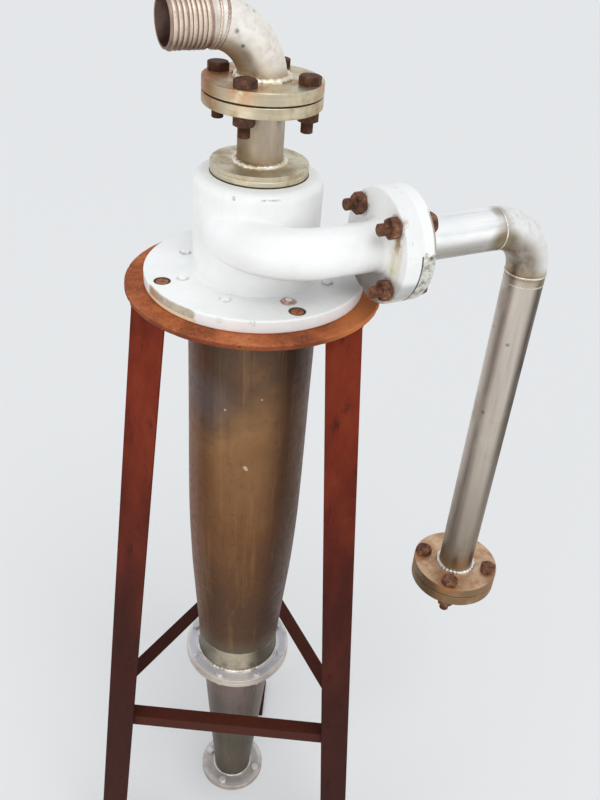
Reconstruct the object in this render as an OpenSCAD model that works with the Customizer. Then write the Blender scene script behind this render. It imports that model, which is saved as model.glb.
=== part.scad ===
// Cyclone separator on a three-legged angle-iron stand.
// Millimetres. The origin is on the floor, on the cyclone's axis. +Z is up
// and the inlet pipe leaves along +X.

/* [Stand] */
// Height of the stand ring's top face above the floor
stand_h = 1300; // [1240:10:1700]
// Outer radius of the stand ring
ring_r = 180; // [180:1:210]
// Inner radius of the stand ring
ring_bore_r = 121; // [120:1:124]
// Thickness of the stand ring
ring_t = 9; // [6:1:12]
// Width of each flange of a leg
leg_w = 50; // [40:1:56]
// Thickness of a leg's flanges
leg_t = 5; // [4:0.5:7]
// Distance of a leg's heel from the axis, under the ring
leg_top_r = 179; // [165:1:180]
// Distance of a leg's heel from the axis, at its foot
leg_foot_r = 298; // [280:2:340]
// Height of the front brace's top face above the floor
front_brace_h = 455; // [300:5:475]
// Height of the two rear braces' top faces above the floor
rear_brace_h = 525; // [500:5:600]
// Width of each flange of a brace
brace_w = 25; // [20:1:30]
// Thickness of a brace's flanges
brace_t = 4; // [3:0.5:6]
// Distance from a leg's heel to where its brace meets the flange
brace_seat = 30; // [24:1:36]
// Side of the square foot plates
foot_w = 100; // [90:5:130]
// Thickness of the foot plates
foot_t = 8; // [6:1:15]
// Diameter of the anchor hole in each foot plate
anchor_d = 14; // [10:1:18]
// Distance from a leg's heel inwards to its anchor hole
anchor_in = 58; // [50:1:64]

/* [Head] */
// Radius of the head plate
plate_r = 153.5; // [150:0.5:170]
// Thickness of the head plate
plate_t = 19; // [14:1:26]
// Radius of the circle of hold-down bolts
hold_r = 135; // [133:0.5:137]
// Diameter of the hold-down bolts
hold_d = 12; // [8:1:14]
// Diameter of the hold-down bolts' round heads
hold_head_d = 20; // [18:1:22]
// Outer radius of the head's cylinder
head_r = 86; // [80:0.5:90]
// Wall of the head's cylinder
head_wall = 5; // [3:0.5:8]
// Height of the head's cylinder above the head plate
head_h = 138; // [120:1:180]
// Radius of the round shoulder at the head's top
shoulder_r = 13; // [6:1:18]
// Radius of the cover disc on the head
cover_r = 64.5; // [55:0.5:68]
// Thickness of the cover disc
cover_t = 14.6; // [8:0.2:20]
// Radius of the circle of small head screws
screw_r = 106; // [104:0.5:107]
// Diameter of the small head screws
screw_d = 8; // [5:1:10]
// Diameter of the small screws' round heads
screw_head_d = 15; // [12:0.5:17]

/* [Pipes] */
// Outer diameter of the pipes
pipe_od = 60.3; // [58:0.1:62]
// Wall of the pipes
pipe_wall = 2.8; // [2:0.1:4]
// Centreline radius of the pipe elbows
elbow_r = 76.2; // [70:0.1:90]
// Radius of the pipe flanges
flange_r = 76.2; // [74:0.1:80]
// Radius of the flanges' bolt circle
flange_bolt_r = 60.3; // [58:0.1:61.5]
// Diameter of the flange bolts
flange_bolt_d = 16; // [12:0.5:17]
// Thickness of a gasket
gasket_t = 1.6; // [1:0.1:3]

/* [Inlet] */
// Height of the inlet's centre above the stand ring
inlet_z = 91; // [80:1:110]
// Distance of the inlet's centreline from the cyclone's axis
inlet_offset = 126; // [122:1:130]
// Radius of the scroll's centreline where it wraps the head
scroll_r = 91; // [86:1:95]
// Outer radius of the inlet nozzle
nozzle_r = 33; // [31:0.5:35]
// Wall of the inlet nozzle
nozzle_wall = 6; // [3:0.5:7]
// Distance from the cyclone's axis to the inlet flange's near face
inlet_flange_x = 112; // [110:1:130]
// Thickness of the cast inlet flange
inlet_flange_t = 23; // [16:1:28]
// Thickness of the steel flange on the spool
spool_flange_t = 18; // [12:1:22]
// Distance from the cyclone's axis to the drop pipe
drop_x = 380; // [320:5:460]
// Height of the drop flange's top face above the floor
drop_flange_h = 720; // [500:10:900]
// Thickness of each flange at the drop pipe's end
drop_flange_t = 18; // [12:1:22]

/* [Outlet] */
// Height of the lower outlet flange above the stand ring
outlet_flange_z = 244.5; // [235:0.5:280]
// Thickness of the lower outlet flange
lower_flange_t = 14.4; // [10:0.2:20]
// Thickness of the upper outlet flange
upper_flange_t = 15.8; // [14:0.2:20]
// Depth below the upper flange's top face at which the outlet elbow begins
elbow_sunk = 10; // [6:0.5:11]
// Length of the ribbed joint on the outlet elbow
ribbed_l = 52; // [40:1:70]
// Number of ribs on the ribbed joint
rib_count = 5; // [3:1:6]
// Depth that the outlet pipe reaches below the head plate
finder_depth = 40; // [20:1:80]

/* [Body] */
// Outer radius of the barrel at its top
body_r = 93; // [90:0.5:95]
// Outer radius of the barrel at its lower end
body_low_r = 91.5; // [88:0.5:95]
// Length of the barrel
barrel_l = 470; // [380:5:520]
// Wall of the barrel and cone
body_wall = 5; // [3:0.5:7]
// Length of the cone
cone_l = 247; // [200:1:280]
// Outer radius of the cone at its lower end
cone_end_r = 73; // [72:0.5:78]
// Radius of the barrel's hidden top flange
body_flange_r = 117; // [115:0.5:118]
// Thickness of the barrel's top flange
body_flange_t = 9; // [6:1:14]
// Outer radius of the stainless band
band_r = 72; // [70:0.5:72]
// Length of the stainless band
band_l = 46.4; // [30:0.2:60]
// Wall of the stainless band
band_wall = 4; // [2:0.5:6]
// Radius of the cone flanges
cone_flange_r = 96; // [93:0.5:105]
// Thickness of each cone flange
cone_flange_t = 7.8; // [5:0.2:10]
// Radius of the cone flanges' bolt circle
cone_bolt_r = 86; // [84:0.5:88]
// Diameter of the cone flange bolts
cone_bolt_d = 8; // [5:1:9]
// Outer radius of the lower cone at its top
low_cone_r = 67; // [64:0.5:70]
// Outer radius of the lower cone at its lower end
low_cone_end_r = 36.5; // [34:0.5:40]
// Length of the lower cone
low_cone_l = 374; // [300:1:400]
// Wall of the lower cone
low_cone_wall = 4; // [2:0.5:5]
// Radius of the underflow flange
under_flange_r = 64.4; // [62:0.2:75]
// Thickness of the underflow flange
under_flange_t = 12.7; // [8:0.1:18]
// Radius of the underflow flange's bolt circle
under_bolt_r = 51.5; // [50:0.5:53]
// Diameter of the underflow flange's bolts
under_bolt_d = 8; // [5:1:9]

/* [Hidden] */

$fn = 96;
// Overrun of a cut past the face it opens
past = 1;
// Gap round what slides into a hole or socket
fit_gap = 0.3;
// Gap between a bolt and its hole, each side
bolt_gap = 0.75;
// Half the gap between two braces that meet in a leg
brace_gap = 0.4;

// Colours as the object shows them
rust_paint = [0.40, 0.17, 0.11];
rust = [0.62, 0.34, 0.20];
bolt_rust = [0.34, 0.20, 0.13];
white_paint = [0.93, 0.93, 0.92];
bronze = [0.42, 0.31, 0.21];
stainless = [0.72, 0.70, 0.67];
grey_steel = [0.42, 0.40, 0.36];
gasket_grey = [0.12, 0.12, 0.12];

// Directions of the three legs, seen from above
leg_left_dir = 180;
leg_right_dir = -60;
leg_back_dir = 60;

// Heights of the stand
ring_bottom_z = stand_h - ring_t;
leg_run = leg_foot_r - leg_top_r;
leg_rise = ring_bottom_z - foot_t;
leg_lean = atan(leg_run / leg_rise);
leg_len = leg_rise / cos(leg_lean);
foot_centre_r = leg_foot_r - foot_w * 0.3;

// Heights of the head
plate_top_z = stand_h + plate_t;
head_top_z = plate_top_z + head_h;
crown_z = head_top_z - shoulder_r;
head_bore_r = head_r - head_wall;

// Hold-down bolts: round heads let into the plate, nuts under the ring
hold_head_t = 8;
hold_recess = 0.8;
hold_nut_af = hold_d * 1.5;
hold_nut_t = hold_d * 0.85;
hold_tail = 6;

// Small head screws
screw_head_t = 3;
screw_nut_af = screw_d * 1.6;
screw_nut_t = screw_d * 0.8;
screw_tail = 3;

// Flange bolts
flange_hole_d = flange_bolt_d + 4 * bolt_gap;
flange_nut_af = flange_bolt_d * 1.6;
flange_head_t = flange_bolt_d * 0.65;
flange_nut_t = flange_bolt_d * 0.8;
flange_tail = flange_bolt_d * 0.9;

// Pipes
pipe_r = pipe_od / 2;
pipe_bore_r = pipe_r - pipe_wall;
socket_r = pipe_r + fit_gap;
socket_back = 2;
gasket_r = flange_bolt_r - flange_hole_d / 2 - past;

// Inlet, all on one line
inlet_h = stand_h + inlet_z;
scroll_shift = inlet_offset - scroll_r;
scroll_sweep = 110;
nozzle_bore_r = nozzle_r - nozzle_wall;
inlet_gasket_x = inlet_flange_x + inlet_flange_t;
spool_flange_x = inlet_gasket_x + gasket_t;
spool_x = spool_flange_x + socket_back;
spool_elbow_x = drop_x - elbow_r;

// Drop pipe and its flanges, from the top down
drop_top_z = inlet_h - elbow_r;
drop_face_z = drop_flange_h - drop_flange_t;
companion_top_z = drop_face_z - gasket_t;
companion_bottom_z = companion_top_z - drop_flange_t;

// Outlet, from the bottom up
lower_flange_z = stand_h + outlet_flange_z;
outlet_gasket_z = lower_flange_z + lower_flange_t;
upper_flange_z = outlet_gasket_z + gasket_t;
upper_flange_top_z = upper_flange_z + upper_flange_t;
outlet_elbow_z = upper_flange_top_z - elbow_sunk;
outlet_h = outlet_elbow_z + elbow_r;
// The bore clears the inside of the bend where it leaves the flange
bend_reach = elbow_r - sqrt(pow(elbow_r - pipe_r, 2) - pow(elbow_sunk, 2));
elbow_socket_r = bend_reach + fit_gap;
rib_r = 2.6;
rib_pitch = ribbed_l / (rib_count + 1);

// Body, from the top down
barrel_bottom_z = stand_h - barrel_l;
cone_bottom_z = barrel_bottom_z - cone_l;
band_bottom_z = cone_bottom_z - band_l;
cone_gasket_t = gasket_t * 0.6;
cone_gasket_z = band_bottom_z - cone_flange_t - cone_gasket_t;
cone_flange_bottom_z = cone_gasket_z - cone_flange_t;
under_flange_top_z = cone_flange_bottom_z - low_cone_l;
under_flange_z = under_flange_top_z - under_flange_t;
band_bore_r = band_r - band_wall;
low_cone_bore_r = low_cone_r - low_cone_wall;
under_bore_r = low_cone_end_r - low_cone_wall;
cone_nut_af = cone_bolt_d * 1.6;
cone_head_t = cone_bolt_d * 0.65;
cone_nut_t = cone_bolt_d * 0.8;
cone_tail = 2;
under_nut_af = under_bolt_d * 1.6;
under_head_t = under_bolt_d * 0.65;
under_nut_t = under_bolt_d * 0.8;
under_tail = 8;

// A ring between two radii, standing on z = 0
module ring(outer_r, inner_r, t) {
    difference() {
        cylinder(r = outer_r, h = t);
        translate([0, 0, -past]) cylinder(r = inner_r, h = t + 2 * past);
    }
}

// Copies on a circle, the first in the direction start
module on_circle(r, count, start) {
    for (i = [0 : count - 1])
        rotate([0, 0, start + i * 360 / count]) translate([r, 0, 0]) children();
}

// A tube that tapers from its foot up to its top
module tapered_tube(foot_r, top_r, wall, h) {
    rotate_extrude()
        polygon([[foot_r - wall, 0], [foot_r, 0], [top_r, h], [top_r - wall, h]]);
}

// A six-sided head or nut across flats af
module hexagon(af, t) {
    cylinder(d = af / cos(30), h = t, $fn = 6);
}

// A bolt through a grip that starts at z = 0, head above it and nut below
module hex_bolt(d, af, head_t, grip, nut_t, tail) {
    translate([0, 0, grip]) hexagon(af, head_t);
    translate([0, 0, -nut_t - tail]) cylinder(d = d, h = grip + nut_t + tail);
    translate([0, 0, -nut_t]) hexagon(af, nut_t);
}

// A four-hole pipe flange, standing on z = 0
module pipe_flange(t, bore_r) {
    difference() {
        ring(flange_r, bore_r, t);
        on_circle(flange_bolt_r, 4, 45)
            translate([0, 0, -past]) cylinder(d = flange_hole_d, h = t + 2 * past);
    }
}

// The four bolts of a pipe flange pair
module flange_bolts(grip) {
    on_circle(flange_bolt_r, 4, 45)
        hex_bolt(flange_bolt_d, flange_nut_af, flange_head_t, grip, flange_nut_t, flange_tail);
}

// A straight piece of pipe, standing on z = 0
module pipe(l) {
    ring(pipe_r, pipe_bore_r, l);
}

// A quarter bend in the XZ plane, from +X round to +Z
module pipe_bend(tube_r, bore_r) {
    rotate([90, 0, 0]) rotate_extrude(angle = 90)
        translate([elbow_r, 0]) difference() {
            circle(r = tube_r);
            circle(r = bore_r);
        }
}

// Lays what stands along +Z down along +X, at the inlet's height
module on_inlet_line(x) {
    translate([x, -inlet_offset, inlet_h]) rotate([0, 90, 0]) children();
}

// The outline of an equal angle, its heel at the origin
module angle_outline(w, t) {
    polygon([[0, 0], [w, 0], [w, t], [t, t], [t, w], [0, w]]);
}

// Puts the children in a leg's own frame: the heel runs up +Z from the foot
module leg_frame(direction) {
    rotate([0, 0, direction])
        translate([leg_foot_r, 0, foot_t])
            rotate([0, -leg_lean, 0])
                rotate([0, 0, 135])
                    children();
}

// One splayed leg, cut level at the foot plate and at the ring
module leg(direction) {
    overrun = leg_w;
    intersection() {
        leg_frame(direction)
            translate([0, 0, -overrun])
                linear_extrude(leg_len + 2 * overrun) angle_outline(leg_w, leg_t);
        translate([0, 0, foot_t]) cylinder(r = leg_foot_r + leg_w, h = leg_rise);
    }
}

// What lies outside a leg's inner faces, to trim a brace's end
module outside_of_leg(direction) {
    reach = leg_w * 4;
    leg_frame(direction) {
        translate([-reach, -reach, 0]) cube([2 * reach, reach + leg_t, leg_len]);
        translate([-reach, -reach, 0]) cube([reach + leg_t, 2 * reach, leg_len]);
    }
}

// A level brace between two neighbouring legs, one flange on top at height h.
// Its outer face meets each leg's inner face at the seat.
module brace(from_dir, to_dir, h) {
    middle = (from_dir + to_dir) / 2;
    heel_r = leg_foot_r - (h - foot_t) * tan(leg_lean);
    seat_x = heel_r - (brace_seat + leg_t) * cos(45);
    seat_y = (brace_seat - leg_t) * cos(45);
    face_r = seat_x * cos(60) + seat_y * sin(60);
    half_l = heel_r * sin(60);
    difference() {
        rotate([0, 0, middle])
            translate([face_r, -half_l, h])
                rotate([-90, 0, 0])
                    linear_extrude(2 * half_l) mirror([1, 0])
                        angle_outline(brace_w, brace_t);
        outside_of_leg(from_dir);
        outside_of_leg(to_dir);
        rotate([0, 0, from_dir])
            translate([0, -leg_foot_r, 0]) cube([leg_foot_r, leg_foot_r + brace_gap, h + past]);
        rotate([0, 0, to_dir])
            translate([0, -brace_gap, 0]) cube([leg_foot_r, leg_foot_r, h + past]);
    }
}

module stand_ring() {
    color(rust) translate([0, 0, ring_bottom_z]) difference() {
        ring(ring_r, ring_bore_r, ring_t);
        on_circle(hold_r, 4, 0)
            translate([0, 0, -past]) cylinder(r = hold_d / 2 + bolt_gap, h = ring_t + 2 * past);
    }
}

module leg_left() { color(rust_paint) leg(leg_left_dir); }
module leg_right() { color(rust_paint) leg(leg_right_dir); }
module leg_back() { color(rust_paint) leg(leg_back_dir); }

module brace_front() { color(rust_paint) brace(leg_left_dir - 360, leg_right_dir, front_brace_h); }
module brace_left() { color(rust_paint) brace(leg_back_dir, leg_left_dir, rear_brace_h); }
module brace_right() { color(rust_paint) brace(leg_right_dir, leg_back_dir, rear_brace_h); }

module foot_plates() {
    color(rust_paint) for (direction = [leg_left_dir, leg_right_dir, leg_back_dir])
        rotate([0, 0, direction]) difference() {
            translate([foot_centre_r - foot_w / 2, -foot_w / 2, 0]) cube([foot_w, foot_w, foot_t]);
            translate([leg_foot_r - anchor_in, 0, -past]) cylinder(d = anchor_d, h = foot_t + 2 * past);
        }
}

module head_plate() {
    color(white_paint) translate([0, 0, stand_h]) difference() {
        ring(plate_r, head_bore_r, plate_t);
        on_circle(hold_r, 4, 0) {
            translate([0, 0, -past]) cylinder(r = hold_d / 2 + bolt_gap, h = plate_t + 2 * past);
            translate([0, 0, plate_t - hold_head_t - hold_recess])
                cylinder(r = hold_head_d / 2 + bolt_gap, h = hold_head_t + hold_recess + past);
        }
        on_circle(screw_r, 8, 0)
            translate([0, 0, -past]) cylinder(r = screw_d / 2 + bolt_gap, h = plate_t + 2 * past);
    }
}

module hold_down_bolts() {
    shank_l = ring_t + plate_t - hold_recess;
    color(bolt_rust) translate([0, 0, ring_bottom_z]) on_circle(hold_r, 4, 0) {
        translate([0, 0, shank_l - hold_head_t]) cylinder(d = hold_head_d, h = hold_head_t);
        translate([0, 0, -hold_nut_t - hold_tail])
            cylinder(d = hold_d, h = shank_l + hold_nut_t + hold_tail - past);
        translate([0, 0, -hold_nut_t]) hexagon(hold_nut_af, hold_nut_t);
    }
}

module head_screws() {
    grip = plate_t + body_flange_t;
    color(white_paint) translate([0, 0, stand_h - body_flange_t]) on_circle(screw_r, 8, 0) {
        translate([0, 0, grip]) cylinder(d = screw_head_d, h = screw_head_t);
        translate([0, 0, -screw_nut_t - screw_tail])
            cylinder(d = screw_d, h = grip + screw_nut_t + screw_tail + past);
        translate([0, 0, -screw_nut_t]) hexagon(screw_nut_af, screw_nut_t);
    }
}

// The bend of the inlet that wraps round the head, as a solid bar
module scroll_bend(bar_r) {
    translate([scroll_shift, -scroll_shift, inlet_h])
        rotate([0, 0, 270 - scroll_sweep])
            rotate_extrude(angle = scroll_sweep) translate([scroll_r, 0]) circle(r = bar_r);
}

module head_cylinder() {
    color(white_paint) difference() {
        translate([0, 0, plate_top_z]) ring(head_r, head_bore_r, crown_z - plate_top_z);
        scroll_bend(nozzle_bore_r);
    }
}

// The head's flat top and round shoulder, open for the outlet pipe
module head_crown() {
    flat_r = head_r - shoulder_r;
    color(white_paint) translate([0, 0, crown_z]) rotate_extrude() difference() {
        union() {
            translate([0, -past]) square([flat_r, shoulder_r + past]);
            translate([flat_r, 0]) circle(r = shoulder_r);
        }
        translate([flat_r, 0]) circle(r = shoulder_r - head_wall);
        translate([0, -2 * past]) square([flat_r, shoulder_r - head_wall + 2 * past]);
        translate([0, -2 * past]) square([socket_r, shoulder_r + 3 * past]);
        translate([0, -2 * shoulder_r]) square([head_r + past, 2 * shoulder_r]);
    }
}

module cover_disc() {
    color(stainless) translate([0, 0, head_top_z]) ring(cover_r, socket_r, cover_t);
}

module body_flange() {
    color(bronze) translate([0, 0, stand_h - body_flange_t]) difference() {
        ring(body_flange_r, body_r + fit_gap, body_flange_t);
        on_circle(screw_r, 8, 0)
            translate([0, 0, -past]) cylinder(r = screw_d / 2 + bolt_gap, h = body_flange_t + 2 * past);
    }
}

module body_barrel() {
    color(bronze) translate([0, 0, barrel_bottom_z]) tapered_tube(body_low_r, body_r, body_wall, barrel_l);
}

module body_cone() {
    color(bronze) translate([0, 0, cone_bottom_z]) tapered_tube(cone_end_r, body_low_r, body_wall, cone_l);
}

module cone_band() {
    color(stainless) translate([0, 0, band_bottom_z]) ring(band_r, band_bore_r, band_l);
}

// One ring of the bolted joint between the two cones
module cone_flange(bore_r) {
    difference() {
        ring(cone_flange_r, bore_r, cone_flange_t);
        on_circle(cone_bolt_r, 8, 0)
            translate([0, 0, -past]) cylinder(r = cone_bolt_d / 2 + bolt_gap, h = cone_flange_t + 2 * past);
    }
}

module cone_flange_upper() {
    color(stainless) translate([0, 0, band_bottom_z - cone_flange_t]) cone_flange(band_bore_r);
}

module cone_gasket() {
    color(gasket_grey) translate([0, 0, cone_gasket_z])
        ring(cone_bolt_r - cone_bolt_d, band_bore_r, cone_gasket_t);
}

module cone_flange_lower() {
    color(stainless) translate([0, 0, cone_flange_bottom_z]) cone_flange(low_cone_bore_r);
}

module cone_bolts() {
    grip = 2 * cone_flange_t + cone_gasket_t;
    color(stainless) translate([0, 0, cone_flange_bottom_z]) on_circle(cone_bolt_r, 8, 0)
        hex_bolt(cone_bolt_d, cone_nut_af, cone_head_t, grip, cone_nut_t, cone_tail);
}

module lower_cone() {
    color(grey_steel) translate([0, 0, under_flange_top_z])
        tapered_tube(low_cone_end_r, low_cone_r, low_cone_wall, low_cone_l);
}

module underflow_flange() {
    color(stainless) translate([0, 0, under_flange_z]) difference() {
        ring(under_flange_r, under_bore_r, under_flange_t);
        on_circle(under_bolt_r, 4, 45)
            translate([0, 0, -past]) cylinder(r = under_bolt_d / 2 + bolt_gap, h = under_flange_t + 2 * past);
    }
}

module underflow_bolts() {
    color(stainless) translate([0, 0, under_flange_z]) on_circle(under_bolt_r, 4, 45)
        hex_bolt(under_bolt_d, under_nut_af, under_head_t, under_flange_t, under_nut_t, under_tail);
}

module inlet_scroll() {
    color(white_paint) difference() {
        scroll_bend(nozzle_r);
        scroll_bend(nozzle_bore_r);
        translate([0, 0, plate_top_z]) cylinder(r = head_r, h = head_h);
    }
}

module inlet_nozzle() {
    color(white_paint) on_inlet_line(scroll_shift)
        ring(nozzle_r, nozzle_bore_r, inlet_flange_x - scroll_shift);
}

module inlet_flange() {
    color(white_paint) on_inlet_line(inlet_flange_x) pipe_flange(inlet_flange_t, nozzle_bore_r);
}

module inlet_gasket() {
    color(gasket_grey) on_inlet_line(inlet_gasket_x) ring(gasket_r, nozzle_bore_r, gasket_t);
}

module spool_flange() {
    color(stainless) on_inlet_line(spool_flange_x) pipe_flange(spool_flange_t, socket_r);
}

module inlet_bolts() {
    color(bolt_rust) on_inlet_line(inlet_flange_x)
        flange_bolts(inlet_flange_t + gasket_t + spool_flange_t);
}

module spool_pipe() {
    color(stainless) on_inlet_line(spool_x) pipe(spool_elbow_x - spool_x);
}

module spool_elbow() {
    color(stainless) translate([spool_elbow_x, -inlet_offset, drop_top_z]) pipe_bend(pipe_r, pipe_bore_r);
}

module drop_pipe() {
    pipe_end_z = drop_face_z + socket_back;
    color(stainless) translate([drop_x, -inlet_offset, pipe_end_z]) pipe(drop_top_z - pipe_end_z);
}

module drop_flange() {
    color(stainless) translate([drop_x, -inlet_offset, drop_face_z]) pipe_flange(drop_flange_t, socket_r);
}

module drop_gasket() {
    color(gasket_grey) translate([drop_x, -inlet_offset, companion_top_z]) ring(gasket_r, pipe_bore_r, gasket_t);
}

module companion_flange() {
    color(stainless) translate([drop_x, -inlet_offset, companion_bottom_z])
        pipe_flange(drop_flange_t, socket_r);
}

module drop_bolts() {
    grip = 2 * drop_flange_t + gasket_t;
    color(bolt_rust) translate([drop_x, -inlet_offset, companion_bottom_z]) flange_bolts(grip);
}

module outlet_pipe() {
    foot_z = stand_h - finder_depth;
    color(stainless) translate([0, 0, foot_z]) pipe(outlet_gasket_z - socket_back - foot_z);
}

module outlet_lower_flange() {
    color(stainless) translate([0, 0, lower_flange_z]) pipe_flange(lower_flange_t, socket_r);
}

module outlet_gasket() {
    color(gasket_grey) translate([0, 0, outlet_gasket_z]) ring(gasket_r, pipe_bore_r, gasket_t);
}

module outlet_upper_flange() {
    color(stainless) translate([0, 0, upper_flange_z]) pipe_flange(upper_flange_t, elbow_socket_r);
}

module outlet_bolts() {
    color(bolt_rust) translate([0, 0, lower_flange_z])
        flange_bolts(lower_flange_t + gasket_t + upper_flange_t);
}

module outlet_elbow() {
    lead_z = upper_flange_z + socket_back;
    color(stainless) {
        translate([0, 0, lead_z]) pipe(outlet_elbow_z - lead_z);
        translate([-elbow_r, 0, outlet_elbow_z]) pipe_bend(pipe_r, pipe_bore_r);
    }
}

module ribbed_joint() {
    color(stainless) translate([-elbow_r, 0, outlet_h]) rotate([0, -90, 0]) rotate_extrude() difference() {
        union() {
            square([pipe_r, ribbed_l]);
            for (i = [1 : rib_count]) translate([pipe_r, i * rib_pitch]) circle(r = rib_r);
        }
        translate([0, -past]) square([pipe_bore_r, ribbed_l + 2 * past]);
    }
}

stand_ring();
leg_left();
leg_right();
leg_back();
brace_front();
brace_left();
brace_right();
foot_plates();
head_plate();
hold_down_bolts();
head_screws();
head_cylinder();
head_crown();
cover_disc();
body_flange();
body_barrel();
body_cone();
cone_band();
cone_flange_upper();
cone_gasket();
cone_flange_lower();
cone_bolts();
lower_cone();
underflow_flange();
underflow_bolts();
inlet_scroll();
inlet_nozzle();
inlet_flange();
inlet_gasket();
spool_flange();
inlet_bolts();
spool_pipe();
spool_elbow();
drop_pipe();
drop_flange();
drop_gasket();
companion_flange();
drop_bolts();
outlet_pipe();
outlet_lower_flange();
outlet_gasket();
outlet_upper_flange();
outlet_bolts();
outlet_elbow();
ribbed_joint();
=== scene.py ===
import math

import bmesh
import bpy
from mathutils import Matrix, Vector, noise


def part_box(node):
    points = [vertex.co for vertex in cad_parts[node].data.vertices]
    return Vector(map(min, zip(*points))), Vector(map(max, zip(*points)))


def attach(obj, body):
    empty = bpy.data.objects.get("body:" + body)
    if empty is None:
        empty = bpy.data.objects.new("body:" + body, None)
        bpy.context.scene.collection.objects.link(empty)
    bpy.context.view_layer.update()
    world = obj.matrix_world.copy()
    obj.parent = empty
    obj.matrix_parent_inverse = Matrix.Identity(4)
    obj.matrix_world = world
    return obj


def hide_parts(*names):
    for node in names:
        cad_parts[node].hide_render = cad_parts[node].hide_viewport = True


# Cyclone separator on a three-legged stand, metres, floor at z = 0, inlet along +X
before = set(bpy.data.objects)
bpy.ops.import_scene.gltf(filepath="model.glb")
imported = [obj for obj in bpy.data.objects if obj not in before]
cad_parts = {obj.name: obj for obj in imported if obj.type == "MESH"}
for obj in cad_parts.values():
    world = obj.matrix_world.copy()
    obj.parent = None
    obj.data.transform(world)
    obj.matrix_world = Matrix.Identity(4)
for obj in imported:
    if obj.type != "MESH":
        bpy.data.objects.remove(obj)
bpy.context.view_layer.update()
scene = bpy.context.scene
scene.view_settings.view_transform = "Standard"
print("frame loaded")

mm = 0.001
up = Vector((0, 0, 1))
right = Vector((1, 0, 0))
back = Vector((0, 1, 0))
now = {}  # the node tree in hand, with its shader, places and colour so far


def middle(node):
    low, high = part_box(node)
    return (low + high) / 2


def plug(value, socket):
    if isinstance(value, bpy.types.NodeSocket):
        now["tree"].links.new(value, socket)
    else:
        socket.default_value = value


def addNode(kind, plugs, **settings):
    node = now["tree"].nodes.new("ShaderNode" + kind)
    for key, value in settings.items():
        setattr(node, key, value)
    for key, value in plugs.items():
        plug(value, node.inputs[key])
    return node


def calc(operation, first, second=0.0):
    return addNode("Math", {0: first, 1: second}, operation=operation).outputs[0]


def remap(value, low, high, start=0.0, end=1.0):  # low at start, high at end
    plugs = {"Value": value, "From Min": start, "From Max": end, "To Min": low, "To Max": high}
    return addNode("MapRange", plugs).outputs[0]


# Camera and studio

view = {
    "place": Vector((-0.4610, -0.9887, 1.8449)),
    "heading": -29.153,  # degrees round the vertical
    "tilt": 55.667,  # degrees up from looking straight down
    "roll": 4.964,
    "lens": 38.49,
    "sensor": 36,
    "nearest": 0.05,
    "farthest": 600,
}


def makeCamera():
    data = bpy.data.cameras.new("photoCamera")
    data.lens = view["lens"]
    data.sensor_width = view["sensor"]
    data.clip_start, data.clip_end = view["nearest"], view["farthest"]
    camera = bpy.data.objects.new("photoCamera", data)
    turn = (
        Matrix.Rotation(math.radians(view["heading"]), 4, "Z")
        @ Matrix.Rotation(math.radians(view["tilt"]), 4, "X")
        @ Matrix.Rotation(math.radians(view["roll"]), 4, "Z")
    )
    camera.matrix_world = Matrix.Translation(view["place"]) @ turn
    scene.collection.objects.link(camera)
    scene.camera = camera


studio = {
    "floorHalf": 180,  # metres
    "floorTone": (0.80, 0.80, 0.79),
    "floorRough": 0.9,
    "sky": (0.93, 0.96, 1.0),
    "skyFill": 0.83,
    "skyShine": 0.9,  # as the steel mirrors it
    "sunPower": 0.7,
    "sunSoftness": 35,  # degrees across
    "sunTurn": (28, -14, 20),
    "panelSize": 1.5,
    "panels": [(Vector((-1.9, -1.1, 1.5)), 8), (Vector((1.3, -2.0, 1.3)), 2.5)],  # place and watts
    "panelAim": Vector((0, 0, 1.3)),
}


def makeFloor():
    bm = bmesh.new()
    bmesh.ops.create_grid(bm, x_segments=1, y_segments=1, size=studio["floorHalf"])
    mesh = bpy.data.meshes.new("floor")
    bm.to_mesh(mesh)
    bm.free()
    material = bpy.data.materials.new("floorPlain")
    material.use_nodes = True
    shader = material.node_tree.nodes["Principled BSDF"]
    shader.inputs["Base Color"].default_value = (*studio["floorTone"], 1)
    shader.inputs["Roughness"].default_value = studio["floorRough"]
    mesh.materials.append(material)
    floor = bpy.data.objects.new("floor", mesh)
    scene.collection.objects.link(floor)


def makeSky():
    world = bpy.data.worlds.new("studioSky")
    world.use_nodes = True
    now["tree"] = world.node_tree
    sky = world.node_tree.nodes["Background"]
    plug((*studio["sky"], 1), sky.inputs["Color"])
    rays = addNode("LightPath", {}).outputs
    mirrored = calc("MAXIMUM", rays["Is Glossy Ray"], rays["Is Transmission Ray"])
    plug(remap(mirrored, studio["skyFill"], studio["skyShine"]), sky.inputs["Strength"])
    scene.world = world


def addLamp(name, kind, power):
    data = bpy.data.lights.new(name, kind)
    data.energy = power
    lamp = bpy.data.objects.new(name, data)
    scene.collection.objects.link(lamp)
    return lamp, data


def makeLights():
    lamp, sun = addLamp("softSun", "SUN", studio["sunPower"])
    sun.angle = math.radians(studio["sunSoftness"])
    lamp.rotation_euler = [math.radians(angle) for angle in studio["sunTurn"]]
    for place, power in studio["panels"]:
        lamp, panel = addLamp("sidePanel", "AREA", power)
        panel.size = studio["panelSize"]
        lamp.location = place
        lamp.rotation_euler = (studio["panelAim"] - place).to_track_quat("-Z", "Y").to_euler()


makeCamera()
makeFloor()
makeSky()
makeLights()
print("camera, floor and lights")


# Material building: started with its shine, given a base tone, other tones laid over it, then ended


def tone(red, green, blue):  # a colour as it looks on screen, 0 to 255
    def linear(value):
        value /= 255
        return value / 12.92 if value <= 0.04045 else ((value + 0.055) / 1.055) ** 2.4

    return (linear(red), linear(green), linear(blue), 1)


def times(shade, share):
    return [min(part * share, 252) for part in shade]


def setShader(name, value):
    plug(value, now["shader"].inputs[name])


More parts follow.
